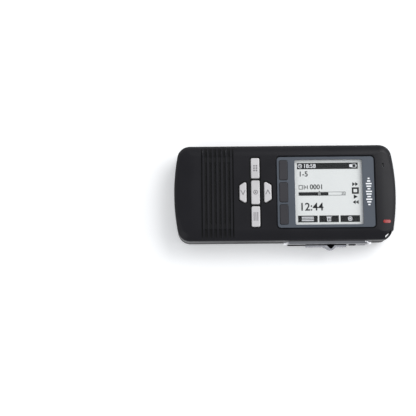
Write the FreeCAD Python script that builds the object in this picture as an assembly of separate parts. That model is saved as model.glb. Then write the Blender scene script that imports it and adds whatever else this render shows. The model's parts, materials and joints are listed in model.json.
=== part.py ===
import math
import os

import FreeCAD
import Part
from FreeCAD import Vector

# A pocket voice recorder with a slide switch on its side, lying on its back. Millimetres.
# Origin: the centre of the rear face that it rests on.
# +X: towards the microphone end. +Z: out of the display. -Y: the side with the slide switch.
# Held upright with the microphone at the top, the user's left is +Y and their right is -Y.

# ---- Clearances ----
FIT = 0.05                 # between fixed pieces that seat on each other
RUN_GAP = 0.2              # around pieces that move in an opening
TRIM_GAP = 0.35            # the shadow gap around the display bezel
TINY = 1e-4

# ---- Case ----
LENGTH = 122.0
WIDTH = 53.0
THICKNESS = 18.0
SPLIT_Z = 9.0              # the joint between the front and rear shells
END_RADIUS = 115.0         # the bowed ends, in plan
CORNER_RADIUS = 7.0
REAR_EDGE_RADIUS = 3.5
CROWN_WIDTH = 6.0          # the front falls away over this width along every side
CROWN_DROP = 2.6
SHOULDER_RADIUS = 1.2
SLOPE_RUN = 11.5           # the front also slopes down towards both ends
SLOPE_DROP = 1.8
SIDE_WALL = 1.6
FRONT_WALL = 2.0
REAR_WALL = 1.6
CAVITY_RADIUS = 1.6        # inside corner between the front and the side walls
LIP_HEIGHT = 0.8
SEAM_HEIGHT = 0.3
SEAM_DEPTH = 0.3

# ---- Fasteners ----
SCREW_RADIUS = 1.0
SCREW_HEAD_RADIUS = 1.9
SCREW_HEAD_HEIGHT = 1.0
SCREW_LENGTH = 11.0
SCREW_SUNK = 1.3           # rear face to the screw head
SCREW_CLEARANCE = 0.3
CROSS_WIDTH = 0.5
CROSS_REACH = 1.3
CROSS_DEPTH = 0.5
BOSS_RADIUS = 2.4
TOP_SCREW_FROM_END = 9.5
TOP_SCREW_FROM_SIDE = 6.0
BOTTOM_SCREW_FROM_END = 7.5
BOTTOM_SCREW_FROM_SIDE = 8.0

# ---- Main board ----
BOARD_THICKNESS = 0.8
BOARD_DROP = 2.2           # inside of the front wall down to the board's top face
BOARD_X0 = -27.5
BOARD_FROM_END = 4.0
BOARD_FROM_SIDE = 5.0
BOARD_RADIUS = 2.5
BOARD_GAP = 0.4

# ---- Display ----
BEZEL_X0 = -4.4
BEZEL_X1 = 49.0
BEZEL_WIDTH = 39.4
BEZEL_THICKNESS = 1.0
BEZEL_SUNK = 0.3
BEZEL_RADIUS = 1.8
BEZEL_CHAMFER = 0.15
BEZEL_LEDGE = 1.3
KEY_SIDE_LEDGE = 0.7
RECESS_CHAMFER = 0.45
WINDOW_X0 = 5.4
WINDOW_X1 = 42.5
WINDOW_WIDTH = 36.1
WINDOW_RADIUS = 0.8
WINDOW_SUNK = 0.12
WINDOW_RIM = 0.3
WINDOW_RIM_THICKNESS = 0.5
WINDOW_TO_GLASS = 0.25
GLASS_THICKNESS = 1.15
GLASS_MARGIN = 1.8
GLASS_SIDE_MARGIN = 0.6
GLASS_FOOT = 3.6           # the driver strip at the microphone end of the glass
BACKLIGHT_THICKNESS = 0.85
CARRIER_WALL = 0.7
FLEX_WIDTH = 12.0
FLEX_THICKNESS = 0.2
FLEX_FOOT = 2.4

# ---- Keys ----
KEY_PROUD = 0.7
KEY_TRAVEL = 0.5
KEY_FLANGE = 0.45
KEY_EDGE = 0.35
KEY_CORNER = 0.8
WELL_MARGIN = 0.8
WELL_DEPTH = 0.9
KEY_ROW_X0 = -18.6
KEY_ROW_X1 = -14.0
OK_KEY_LENGTH = 13.2
SIDE_KEY_LENGTH = 11.3
KEY_ROW_GAP = 1.15
UP_KEY_X0 = -11.5
UP_KEY_X1 = -7.6
DOWN_KEY_X0 = -25.0
DOWN_KEY_X1 = -21.3
ARROW_KEY_LONG = 12.5
ARROW_KEY_SHORT = 7.8
SOFT_KEY_X0 = -3.0
SOFT_KEY_X1 = 1.4
SOFT_KEY_LENGTH = 10.9
SOFT_KEY_PITCH = 12.3
SOFT_KEY_PROUD = 0.35
SOFT_FLANGE_SIDE = 0.2
SOFT_FLANGE_THICKNESS = 0.6
MAT_THICKNESS = 0.45
MAT_MARGIN = 1.2
DOME_RADIUS = 1.9
DOME_HEIGHT = 0.25

# ---- Chips on the main board ----
CHIP_X0 = 26.0
CHIP_Y0 = -14.0
CHIP_LENGTH = 17.0
CHIP_WIDTH = 15.0
SHIELD_HEIGHT = 1.8
SHIELD_WALL = 0.2
CHIP_HEIGHT = 1.0
CHIP_GAP = 1.0
PROCESSOR_SIDE = 7.0
CONVERTER_SIDE = 4.0

# ---- Speaker ----
GRILLE_X1 = -28.9
GRILLE_WIDTH = 40.0
GRILLE_THICKNESS = 1.2
GRILLE_SUNK = 0.1
GRILLE_RADIUS = 0.3
GRILLE_GAP = 0.75          # the open line beside the first and last ribs
RIB_PITCH = 2.55
RIB_WIDTH = 1.05
RIB_COUNT = 7
RIB_TIE_LENGTH = 3.0       # the ribs are tied together at their ends by low cross bars
RIB_TIE_THICKNESS = 0.4
SPEAKER_RADIUS = 8.5
SPEAKER_DEPTH = 2.5
SPEAKER_RIM = 1.3
MAGNET_RADIUS = 4.6
MAGNET_HEIGHT = 1.4
CONE_THICKNESS = 0.25
GASKET_THICKNESS = 0.2

# ---- Microphone and recording light ----
MIC_FROM_END = 6.9
MIC_Y = 14.7
MIC_SLOT_X = 0.9
MIC_SLOT_Y = 2.3
CAPSULE_RADIUS = 2.0
CAPSULE_HEIGHT = 0.9
BOOT_WALL = 0.7
LIGHT_FROM_END = 5.7
LIGHT_Y = -16.6
LIGHT_LENGTH = 4.2
LIGHT_WIDTH = 1.7
LIGHT_PROUD = 0.2
LED_LENGTH = 2.0
LED_WIDTH = 1.3
LED_HEIGHT = 0.7

# ---- Lanyard eyelet: a bar bent around the corner beside the light ----
EYE_BAR = 1.0              # the bar's thickness, in plan
EYE_BAR_HEIGHT = 4.0
EYE_BAR_SUNK = 0.1
EYE_GAP = 0.75             # between the bar and the corner behind it
EYE_BACK_WALL = 1.7
EYE_START = -70.0          # the open stretch, in degrees about the corner's centre
EYE_END = -16.0
EYE_BITE = 8.0             # how far each end of the bar runs into the case, in degrees

# ---- Slide switch rail, on the -Y side ----
RAIL_X0 = -1.5
RAIL_X1 = 47.6
RAIL_HEIGHT = 9.2
RAIL_PROUD = 1.8
RAIL_EDGE = 0.9
RAIL_FLANGE = 0.8
RAIL_FLANGE_THICKNESS = 0.7
SLIDER_X0 = 11.0
SLIDER_X1 = 33.4
SLIDER_HEIGHT = 5.2
SLIDER_PROUD = 3.0
SLIDER_STEP = 3.2          # from one switch position to the next
SLIDER_STEPS = 3
SLIDER_FLANGE = 0.6
SLIDER_SLOT_CORNER = 0.3
SLIDER_FLANGE_THICKNESS = 0.7
TOOTH_PITCH = 0.85         # notches along the thumb edge, the hump's slopes included
TOOTH_DEPTH = 0.5
TOOTH_FLAT = 0.45          # the share of the pitch that isn't notched
HUMP_X0 = 20.5
HUMP_PEAK_X0 = 24.2
HUMP_PEAK_X1 = 25.8
HUMP_X1 = 28.2
HUMP_PROUD = 4.9
HUMP_RIM = 0.8             # the hump's front face is dished inside a rim this wide
HUMP_DISH = 1.2
CARRIAGE_LENGTH = 14.0
CARRIAGE_HEIGHT = 4.4
CARRIAGE_THICKNESS = 1.1
DETENT_NOSE = 0.35
DETENT_THICKNESS = 0.25
SENSOR_X0 = 1.0
SENSOR_X1 = 32.0
SENSOR_DEPTH = 2.0
RECORD_X0 = 34.9
RECORD_X1 = 38.9
RECORD_HEIGHT = 3.2
RECORD_PROUD = 2.2
RECORD_TRAVEL = 0.5
RECORD_FLANGE = 0.6
TACT_WIDTH = 5.2
TACT_HEIGHT = 5.2
TACT_DEPTH = 1.8
LENS_X0 = 39.7
LENS_X1 = 44.1
LENS_HEIGHT = 4.0
LENS_PROUD = 1.5

# ---- Hold switch, on the +Y side ----
HOLD_X0 = 31.0
HOLD_X1 = 38.0
HOLD_HEIGHT = 3.0
HOLD_PROUD = 1.0
HOLD_TRAVEL = 4.0
HOLD_FLANGE = 0.7
HOLD_FLANGE_THICKNESS = 0.7
HOLD_GROOVE_COUNT = 4
HOLD_GROOVE_PITCH = 1.2
HOLD_GROOVE_WIDTH = 0.5
HOLD_GROOVE_DEPTH = 0.35
HOLD_BODY_DEPTH = 3.2

# ---- Memory card, through the +Y side ----
CARD_X0 = -1.0
CARD_WIDTH = 24.0
CARD_LENGTH = 32.0
CARD_THICKNESS = 2.1
CARD_SUNK = 0.5
CARD_CORNER = 3.0
CARD_GAP = 0.2
SOCKET_WALL = 0.35
SOCKET_LENGTH = 27.0
THUMB_NOTCH = 9.0

# ---- Sockets ----
USB_X = 45.0
USB_WIDTH = 7.6
USB_HEIGHT = 2.7
USB_LENGTH = 5.6
USB_WALL = 0.3
USB_SUNK = 0.4
USB_TONGUE = 0.7
USB_TONGUE_SUNK = 1.0
JACK_Y = 5.6
JACK_BORE_RADIUS = 1.8
JACK_COLLAR_RADIUS = 3.0
JACK_COLLAR = 2.2
JACK_SUNK = 0.4
JACK_BODY_WIDTH = 6.6
JACK_BODY_LENGTH = 11.0
JACK_BODY_DROP = 3.2       # the jack's axis down to its underside
JACK_DEPTH = 12.0
DOCK_PADS = 6
DOCK_PITCH = 2.5
DOCK_PAD_WIDTH = 1.3
DOCK_PAD_HEIGHT = 2.2
DOCK_PAD_LENGTH = 2.6
DOCK_SUNK = 0.25
DOCK_Z = 6.2

# ---- Batteries: two AAA cells ----
CELL_RADIUS = 5.25
CELL_LENGTH = 44.5
CELL_BUTTON_RADIUS = 1.9
CELL_BUTTON_HEIGHT = 1.2
CELL_EDGE = 0.4
CELL_PITCH = 11.2
CELL_GAP = 0.2
CONTACT_THICKNESS = 0.4
CONTACT_MARGIN = 1.0
SPRING_LENGTH = 3.4
SPRING_RADIUS = 3.2
SPRING_TIP_RADIUS = 1.8
SPRING_WIRE = 0.35
SPRING_RINGS = 4
BAY_X1 = -5.6
BAY_WALL = 1.0
DOOR_THICKNESS = 1.5
DOOR_X1 = -3.9
DOOR_HALF_WIDTH = 13.2
DOOR_GAP = 0.15
TONGUE_WIDTH = 0.8
TONGUE_THICKNESS = 0.75
GUIDE_HEIGHT = 1.1
GRIP_COUNT = 6
GRIP_PITCH = 1.8
GRIP_LENGTH = 14.0
GRIP_WIDTH = 0.8
GRIP_DEPTH = 0.4
GRIP_FROM_EDGE = 6.0

# ---- Worked-out places ----
TOP_X = LENGTH / 2
SIDE_Y = WIDTH / 2
WALL_Y = SIDE_Y - SIDE_WALL
UNDERSIDE_Z = THICKNESS - FRONT_WALL
BOARD_Z1 = UNDERSIDE_Z - BOARD_DROP
BOARD_Z0 = BOARD_Z1 - BOARD_THICKNESS
BEZEL_Z1 = THICKNESS - BEZEL_SUNK
BEZEL_Z0 = BEZEL_Z1 - BEZEL_THICKNESS
GLASS_X0 = WINDOW_X0 - GLASS_MARGIN
GLASS_X1 = WINDOW_X1 + GLASS_FOOT
GLASS_Y = WINDOW_WIDTH / 2 + GLASS_SIDE_MARGIN
BACKLIGHT_Z0 = BOARD_Z1 + FIT
GLASS_Z0 = BACKLIGHT_Z0 + BACKLIGHT_THICKNESS + FIT
GLASS_Z1 = GLASS_Z0 + GLASS_THICKNESS
MAT_Z0 = BOARD_Z1 + DOME_HEIGHT + 2 * FIT
MAT_Z1 = MAT_Z0 + MAT_THICKNESS
KEY_FOOT_Z = MAT_Z1 + KEY_TRAVEL + FIT
MIC_X = TOP_X - MIC_FROM_END
LIGHT_X = TOP_X - LIGHT_FROM_END
GRILLE_X0 = GRILLE_X1 - RIB_WIDTH - (RIB_COUNT - 1) * RIB_PITCH
GRILLE_X = (GRILLE_X0 + GRILLE_X1) / 2
GRILLE_Z1 = THICKNESS - GRILLE_SUNK
GRILLE_Z0 = GRILLE_Z1 - GRILLE_THICKNESS
SPEAKER_Z1 = UNDERSIDE_Z - GASKET_THICKNESS - 2 * FIT
SPEAKER_Z0 = SPEAKER_Z1 - SPEAKER_DEPTH
EYE_X = TOP_X - END_RADIUS + math.sqrt((END_RADIUS - CORNER_RADIUS) ** 2 - (SIDE_Y - CORNER_RADIUS) ** 2)
EYE_Y = CORNER_RADIUS - SIDE_Y
EYE_BAR_RADIUS = CORNER_RADIUS - EYE_BAR_SUNK
EYE_BACK_RADIUS = EYE_BAR_RADIUS - EYE_BAR - EYE_GAP
SCREW_Z1 = SCREW_SUNK + SCREW_HEAD_HEIGHT + SCREW_LENGTH
SLIDER_TRAVEL = SLIDER_STEP * SLIDER_STEPS
SLIDER_SLOT_X0 = SLIDER_X0 - SLIDER_TRAVEL - RUN_GAP
SLIDER_SLOT_X1 = SLIDER_X1 + RUN_GAP
SLIDER_BACK_Y = SLIDER_FLANGE_THICKNESS + FIT - WALL_Y
CARRIAGE_BACK_Y = SLIDER_BACK_Y + CARRIAGE_THICKNESS
HOLD_SLOT_X0 = HOLD_X0 - HOLD_TRAVEL - RUN_GAP
HOLD_SLOT_X1 = HOLD_X1 + RUN_GAP
CARD_Z1 = BOARD_Z0 - SOCKET_WALL - CARD_GAP - FIT
CARD_Z0 = CARD_Z1 - CARD_THICKNESS
CARD_Y1 = SIDE_Y - CARD_SUNK
USB_Z1 = BOARD_Z0 - FIT
USB_Z0 = USB_Z1 - USB_HEIGHT
JACK_END_X = TOP_X - JACK_SUNK
JACK_BODY_X1 = JACK_END_X - JACK_COLLAR
CELL_Z = DOOR_THICKNESS + CELL_GAP + CELL_RADIUS
BAY_LENGTH = CELL_LENGTH + SPRING_LENGTH + 2 * CONTACT_THICKNESS + 2 * FIT
BAY_X0 = BAY_X1 - BAY_LENGTH
BAY_Y = CELL_PITCH / 2 + CELL_RADIUS + CELL_GAP
BAY_Z1 = CELL_Z + CELL_RADIUS + CELL_GAP
KEY_ROW_Y = OK_KEY_LENGTH / 2 + KEY_ROW_GAP


# ---- Shape helpers ----

def block(x0, x1, y0, y1, z0, z1):
    """A box between two opposite corners."""
    return Part.makeBox(x1 - x0, y1 - y0, z1 - z0, Vector(x0, y0, z0))


def straight_edges(solid, direction):
    """The straight edges of a solid that run along a direction."""
    found = []
    for edge in solid.Edges:
        if edge.Curve.TypeId != "Part::GeomLine":
            continue
        if abs(edge.tangentAt(edge.FirstParameter).dot(direction)) > 1 - TINY:
            found.append(edge)
    return found


def level_edges(solid, z):
    """The edges of a solid that lie in the level plane at z."""
    found = []
    for edge in solid.Edges:
        box = edge.BoundBox
        if abs(box.ZMin - z) < TINY and abs(box.ZMax - z) < TINY:
            found.append(edge)
    return found


def side_face_edges(solid, y):
    """The edges around a solid's flat face at the given y."""
    return [edge for edge in solid.Edges if abs(edge.BoundBox.YMax - y) < TINY]


def soft_block(x0, x1, y0, y1, z0, z1, radius, along=Vector(0, 0, 1)):
    """A box whose four edges along one direction are rounded."""
    solid = block(x0, x1, y0, y1, z0, z1)
    return solid.makeFillet(radius, straight_edges(solid, along))


def side_slot(x0, x1, height, y0, y1, z=SPLIT_Z):
    """A bar through a side wall with fully rounded ends, centred on height z."""
    radius = height / 2
    along = Vector(0, 1, 0)
    ends = [Part.makeCylinder(radius, y1 - y0, Vector(x, y0, z), along) for x in (x0 + radius, x1 - radius)]
    middle = block(x0 + radius, x1 - radius, y0, y1, z - radius, z + radius)
    return middle.fuse(ends).removeSplitter()


def plan_slot(x0, x1, y, width, z0, z1):
    """An upright bar with fully rounded ends along X, centred on y."""
    radius = width / 2
    ends = [disc(radius, x, y, z0, z1) for x in (x0 + radius, x1 - radius)]
    middle = block(x0 + radius, x1 - radius, y - radius, y + radius, z0, z1)
    return middle.fuse(ends).removeSplitter()


def disc(radius, x, y, z0, z1):
    """An upright cylinder."""
    return Part.makeCylinder(radius, z1 - z0, Vector(x, y, z0))


def rod(radius, x0, x1, y, z):
    """A cylinder along X."""
    return Part.makeCylinder(radius, x1 - x0, Vector(x0, y, z), Vector(1, 0, 0))


def plan_prism(points, grow, z0, z1, radius):
    """A plan outline, grown outwards, extruded between two heights, with rounded corners."""
    corners = [Vector(x, y, z0) for x, y in points]
    wire = Part.makePolygon(corners + [corners[0]])
    if grow:
        wire = wire.makeOffset2D(grow, 2)
    solid = Part.Face(wire).extrude(Vector(0, 0, z1 - z0))
    return solid.makeFillet(radius, straight_edges(solid, Vector(0, 0, 1)))


def sharp_prism(points, z0, z1):
    """A plan outline extruded between two heights, with its corners left sharp."""
    corners = [Vector(x, y, z0) for x, y in points]
    face = Part.Face(Part.makePolygon(corners + [corners[0]]))
    return face.extrude(Vector(0, 0, z1 - z0))


def merged(solids):
    """All the solids as one."""
    return solids[0].fuse(solids[1:]).removeSplitter()


# ---- The case as one form, before it is split ----

def plan_block(inset, z0, z1):
    """The case's plan outline, set in from the outer wall and extruded between two heights."""
    half_length = TOP_X - inset
    half_width = SIDE_Y - inset
    radius = END_RADIUS - inset
    corner_x = half_length - radius + math.sqrt(radius ** 2 - half_width ** 2)
    right_low = Vector(corner_x, -half_width, z0)
    right_high = Vector(corner_x, half_width, z0)
    left_high = Vector(-corner_x, half_width, z0)
    left_low = Vector(-corner_x, -half_width, z0)
    edges = [
        Part.LineSegment(left_low, right_low).toShape(),
        Part.Arc(right_low, Vector(half_length, 0, z0), right_high).toShape(),
        Part.LineSegment(right_high, left_high).toShape(),
        Part.Arc(left_high, Vector(-half_length, 0, z0), left_low).toShape(),
    ]
    solid = Part.Face(Part.Wire(edges)).extrude(Vector(0, 0, z1 - z0))
    return solid.makeFillet(CORNER_RADIUS - inset, straight_edges(solid, Vector(0, 0, 1)))


def end_slopes():
    """A solid under a top that is flat in the middle and curves down towards both ends."""
    radius = (SLOPE_RUN ** 2 + SLOPE_DROP ** 2) / (2 * SLOPE_DROP)
    flat_x = TOP_X - SLOPE_RUN

    def on_slope(run):
        return THICKNESS - radius + math.sqrt(radius ** 2 - run ** 2)

    past_end = SLOPE_RUN + 1
    half = past_end / 2
    y = -SIDE_Y - 1
    left = [Vector(-flat_x - run, y, on_slope(run)) for run in (0, half, past_end)]
    right = [Vector(flat_x + run, y, on_slope(run)) for run in (0, half, past_end)]
    low_left = Vector(left[2].x, y, -1)
    low_right = Vector(right[2].x, y, -1)
    edges = [
        Part.LineSegment(left[0], right[0]).toShape(),
        Part.Arc(right[0], right[1], right[2]).toShape(),
        Part.LineSegment(right[2], low_right).toShape(),
        Part.LineSegment(low_right, low_left).toShape(),
        Part.LineSegment(low_left, left[2]).toShape(),
        Part.Arc(left[2], left[1], left[0]).toShape(),
    ]
    return Part.Face(Part.Wire(edges)).extrude(Vector(0, WIDTH + 2, 0))


def case_form():
    """The outside of the whole case: crowned along every side, rounded at the rear edge."""
    radius = (CROWN_WIDTH ** 2 + CROWN_DROP ** 2) / (2 * CROWN_DROP)
    crowned = plan_block(CROWN_WIDTH - radius, 0, THICKNESS)
    crowned = crowned.makeFillet(radius, level_edges(crowned, THICKNESS))
    form = plan_block(0, 0, THICKNESS)
    form = form.makeFillet(REAR_EDGE_RADIUS, level_edges(form, 0))
    form = form.common(crowned)
    form = form.makeFillet(SHOULDER_RADIUS, level_edges(form, THICKNESS - CROWN_DROP))
    return form.common(end_slopes())


def cavity():
    """The space inside the case."""
    space = plan_block(SIDE_WALL, REAR_WALL, UNDERSIDE_Z)
    return space.makeFillet(CAVITY_RADIUS, level_edges(space, UNDERSIDE_Z))


CASE = case_form()
CAVITY = cavity()


# ---- Places that several pieces share ----

def screw_places():
    """The four case screws, in plan."""
    top_x = TOP_X - TOP_SCREW_FROM_END
    top_y = SIDE_Y - TOP_SCREW_FROM_SIDE
    bottom_x = BOTTOM_SCREW_FROM_END - TOP_X
    bottom_y = SIDE_Y - BOTTOM_SCREW_FROM_SIDE
    return [(top_x, top_y), (top_x, -top_y), (bottom_x, bottom_y), (bottom_x, -bottom_y)]


def bar_outline(x0, x1, y0, y1):
    """A rectangle in plan."""
    return [(x0, y0), (x1, y0), (x1, y1), (x0, y1)]


def arrow_outline(long_x, short_x):
    """A trapezium in plan, long on the side that faces the middle key."""
    half_long = ARROW_KEY_LONG / 2
    half_short = ARROW_KEY_SHORT / 2
    return [(long_x, -half_long), (short_x, -half_short), (short_x, half_short), (long_x, half_long)]


def front_keys():
    """The five silver keys: name to plan outline."""
    half_ok = OK_KEY_LENGTH / 2
    near = KEY_ROW_Y
    far = KEY_ROW_Y + SIDE_KEY_LENGTH
    return {
        "key_up": arrow_outline(UP_KEY_X0, UP_KEY_X1),
        "key_ok": bar_outline(KEY_ROW_X0, KEY_ROW_X1, -half_ok, half_ok),
        "key_down": arrow_outline(DOWN_KEY_X1, DOWN_KEY_X0),
        "key_menu": bar_outline(KEY_ROW_X0, KEY_ROW_X1, -far, -near),
        "key_index": bar_outline(KEY_ROW_X0, KEY_ROW_X1, near, far),
    }


def soft_keys():
    """The three dark keys in the bezel: name to the middle of each, across the case."""
    return {
        "soft_key_left": SOFT_KEY_PITCH,
        "soft_key_centre": 0.0,
        "soft_key_right": -SOFT_KEY_PITCH,
    }


def soft_outline(y):
    """One soft key in plan."""
    half = SOFT_KEY_LENGTH / 2
    return bar_outline(SOFT_KEY_X0, SOFT_KEY_X1, y - half, y + half)


def jack_collars(clearance):
    """The round noses of the two jacks, through the end wall."""
    collars = []
    for y in (-JACK_Y, JACK_Y):
        collars.append(rod(JACK_COLLAR_RADIUS + clearance, JACK_BODY_X1, TOP_X + 1, y, SPLIT_Z))
    return collars


def rail_hole(clearance):
    """The hole in the side wall that the slide switch rail fills."""
    return side_slot(RAIL_X0 - clearance, RAIL_X1 + clearance, RAIL_HEIGHT + 2 * clearance,
                     -SIDE_Y - 1, -WALL_Y + 1)


def hold_hole():
    """The slot in the side wall that the hold switch slides in."""
    return side_slot(HOLD_SLOT_X0, HOLD_SLOT_X1, HOLD_HEIGHT + 2 * RUN_GAP, WALL_Y - 1, SIDE_Y + 1)


def shared_holes():
    """The holes that lie on the joint between the shells and so cut both."""
    return jack_collars(FIT) + [rail_hole(FIT), hold_hole()]


# ---- Front shell ----

def ring_sector(inner, outer, z0, z1, start, end):
    """Part of an upright ring about the lanyard corner's centre, between two angles in degrees."""
    centre = Vector(EYE_X, EYE_Y, z0)
    ring = Part.makeCylinder(outer, z1 - z0, centre, Vector(0, 0, 1), end - start)
    ring = ring.cut(disc(inner, EYE_X, EYE_Y, z0, z1))
    ring.rotate(centre, Vector(0, 0, 1), start)
    return ring


def eyelet_backing(z0, z1):
    """The solid corner behind the lanyard eyelet."""
    inner = EYE_BACK_RADIUS - EYE_BACK_WALL
    ring = ring_sector(inner, 2 * CORNER_RADIUS, z0, z1, EYE_START - 2 * EYE_BITE, EYE_END + 2 * EYE_BITE)
    return ring.common(CASE)


def eyelet_cuts():
    """The slot behind the lanyard bar, through the whole case, and the seats for the bar's ends."""
    slot = ring_sector(EYE_BACK_RADIUS, 2 * CORNER_RADIUS, -1, THICKNESS + 1, EYE_START, EYE_END)
    half = EYE_BAR_HEIGHT / 2 + FIT
    bite = EYE_BITE + 1
    seat = ring_sector(EYE_BAR_RADIUS - EYE_BAR - FIT, 2 * CORNER_RADIUS, SPLIT_Z - half, SPLIT_Z + half,
                       EYE_START - bite, EYE_END + bite)
    return [slot, seat]


def bezel_recess():
    """The stepped opening that holds the bezel and lets the display and soft keys through."""
    gap = TRIM_GAP
    rim = gap + RECESS_CHAMFER
    half = BEZEL_WIDTH / 2
    seat = soft_block(BEZEL_X0 - gap, BEZEL_X1 + gap, -half - gap, half + gap,
                      BEZEL_Z0 - FIT, THICKNESS + 1, BEZEL_RADIUS + gap)
    bevel_z = THICKNESS - RECESS_CHAMFER
    bevel = soft_block(BEZEL_X0 - rim, BEZEL_X1 + rim, -half - rim, half + rim,
                       bevel_z, THICKNESS + 1, BEZEL_RADIUS + rim)
    bevel = bevel.makeChamfer(RECESS_CHAMFER, level_edges(bevel, bevel_z))
    through = block(BEZEL_X0 + KEY_SIDE_LEDGE, BEZEL_X1 - BEZEL_LEDGE,
                    BEZEL_LEDGE - half, half - BEZEL_LEDGE, UNDERSIDE_Z - 1, THICKNESS)
    return [seat, bevel, through]


def key_openings():
    """A hole for each silver key, and the sunk well around each group of them."""
    cuts = []
    for outline in front_keys().values():
        cuts.append(plan_prism(outline, RUN_GAP, UNDERSIDE_Z - 1, THICKNESS, KEY_CORNER + RUN_GAP))
    far = KEY_ROW_Y + SIDE_KEY_LENGTH
    row = bar_outline(KEY_ROW_X0, KEY_ROW_X1, -far, far)
    wells = [row, arrow_outline(UP_KEY_X0, UP_KEY_X1), arrow_outline(DOWN_KEY_X1, DOWN_KEY_X0)]
    for outline in wells:
        cuts.append(plan_prism(outline, WELL_MARGIN, THICKNESS - WELL_DEPTH, THICKNESS + 1,
                               KEY_CORNER + WELL_MARGIN))
    return cuts


def rib_gaps():
    """The open lines between the grille's ribs: where each starts and ends along the case."""
    gaps = []
    for number in range(RIB_COUNT - 1):
        x1 = GRILLE_X1 - RIB_WIDTH - number * RIB_PITCH
        gaps.append((x1 - RIB_PITCH + RIB_WIDTH, x1))
    return gaps


def grille_recess():
    """The tray for the speaker grille, its sound hole, and grooves that run the ribs out to the sides."""
    half = GRILLE_WIDTH / 2 + FIT
    z0 = GRILLE_Z0 - FIT
    x0 = GRILLE_X0 - GRILLE_GAP
    x1 = GRILLE_X1 + GRILLE_GAP
    tray = soft_block(x0, x1, -half, half, z0, THICKNESS + 1, GRILLE_RADIUS)
    lines = rib_gaps() + [(x0, GRILLE_X0), (GRILLE_X1, x1)]
    grooves = [block(low, high, -SIDE_Y, SIDE_Y, z0, THICKNESS + 1) for low, high in lines]
    return [tray, disc(SPEAKER_RADIUS - SPEAKER_RIM, GRILLE_X, 0, UNDERSIDE_Z - 1, THICKNESS)] + grooves


def light_outline(grow, z0, z1):
    """The recording light in plan, with round ends."""
    half_length = LIGHT_LENGTH / 2 + grow
    return plan_slot(LIGHT_X - half_length, LIGHT_X + half_length, LIGHT_Y, LIGHT_WIDTH + 2 * grow, z0, z1)


def microphone_slot():
    """The sound slot over the microphone, longer across the case."""
    radius = MIC_SLOT_X / 2
    reach = MIC_SLOT_Y / 2 - radius
    z0 = UNDERSIDE_Z - CAVITY_RADIUS
    middle = block(MIC_X - radius, MIC_X + radius, MIC_Y - reach, MIC_Y + reach, z0, THICKNESS)
    ends = [disc(radius, MIC_X, MIC_Y + side * reach, z0, THICKNESS) for side in (-1, 1)]
    return middle.fuse(ends).removeSplitter()


def card_slot():
    """The slot that the memory card goes in through, and its thumb notch."""
    slot = block(CARD_X0 - CARD_GAP, CARD_X0 + CARD_WIDTH + CARD_GAP, WALL_Y - 1, SIDE_Y + 1,
                 CARD_Z0 - CARD_GAP, CARD_Z1 + CARD_GAP)
    middle = CARD_X0 + CARD_WIDTH / 2
    notch = Part.makeCylinder(THUMB_NOTCH / 2, 2 * CARD_SUNK, Vector(middle, CARD_Y1, CARD_Z0),
                              Vector(0, 1, 0))
    return [slot, notch]


def usb_hole():
    """The opening for the USB socket."""
    half = USB_WIDTH / 2 + FIT
    return block(USB_X - half, USB_X + half, WALL_Y - 1, SIDE_Y + 1, USB_Z0 - FIT, USB_Z1 + FIT)


def front_housing():
    """The front shell: crowned cover, screw posts and every opening in it."""
    above = block(-LENGTH, LENGTH, -WIDTH, WIDTH, SPLIT_Z, 2 * THICKNESS)
    shell = CASE.common(above).cut(CAVITY)
    shell = shell.cut(plan_block(SIDE_WALL / 2, SPLIT_Z, SPLIT_Z + LIP_HEIGHT + FIT))
    seam = plan_block(-1, SPLIT_Z, SPLIT_Z + SEAM_HEIGHT).cut(plan_block(SEAM_DEPTH, 0, THICKNESS))
    posts = [disc(BOSS_RADIUS, x, y, SPLIT_Z + FIT, UNDERSIDE_Z + TINY) for x, y in screw_places()]
    posts = [post.common(CASE) for post in posts]
    shell = shell.cut(seam).fuse(posts + [eyelet_backing(SPLIT_Z, THICKNESS)])
    pilots = [disc(SCREW_RADIUS + FIT, x, y, 0, SCREW_Z1 + FIT) for x, y in screw_places()]
    cuts = bezel_recess() + key_openings() + grille_recess() + shared_holes() + pilots
    cuts += card_slot() + eyelet_cuts() + [usb_hole(), microphone_slot()]
    cuts.append(light_outline(FIT, UNDERSIDE_Z - CAVITY_RADIUS, THICKNESS + 1))
    return shell.cut(cuts)


# ---- Rear shell and battery door ----

def door_form(gap):
    """The battery door with its side tongues, grown by a gap for the hole that it slides in."""
    half = DOOR_HALF_WIDTH + gap
    plate = block(-TOP_X - 1, DOOR_X1 + gap, -half, half, -1, DOOR_THICKNESS + gap)
    tongue = half + TONGUE_WIDTH
    tongues = block(-TOP_X - 1, DOOR_X1 + gap - TONGUE_WIDTH, -tongue, tongue,
                    DOOR_THICKNESS - TONGUE_THICKNESS - gap, DOOR_THICKNESS + gap)
    return plate.fuse(tongues)


def door_grips():
    """The thumb grooves across the door."""
    grooves = []
    for number in range(GRIP_COUNT):
        x = DOOR_X1 - GRIP_FROM_EDGE - number * GRIP_PITCH
        half = GRIP_LENGTH / 2 - number * GRIP_WIDTH
        grooves.append(block(x, x + GRIP_WIDTH, -half, half, -1, GRIP_DEPTH))
    return grooves


def battery_door():
    """The rear panel that slides off towards the bottom end."""
    return CASE.common(door_form(0)).cut(door_grips())


def battery_bay():
    """The outside of the tub around the cells, with the guides that the door runs under."""
    wall_y = BAY_Y + BAY_WALL
    tub = block(BAY_X0 - BAY_WALL, BAY_X1 + BAY_WALL, -wall_y, wall_y,
                REAR_WALL, BOARD_Z0 - FIT)
    guide_y = DOOR_HALF_WIDTH + TONGUE_WIDTH + DOOR_GAP + BAY_WALL
    guides = block(BAY_X0 - BAY_WALL, DOOR_X1 + DOOR_GAP + BAY_WALL, -guide_y, guide_y,
                   REAR_WALL, DOOR_THICKNESS + GUIDE_HEIGHT)
    return [tub.common(CAVITY), guides]


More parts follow.
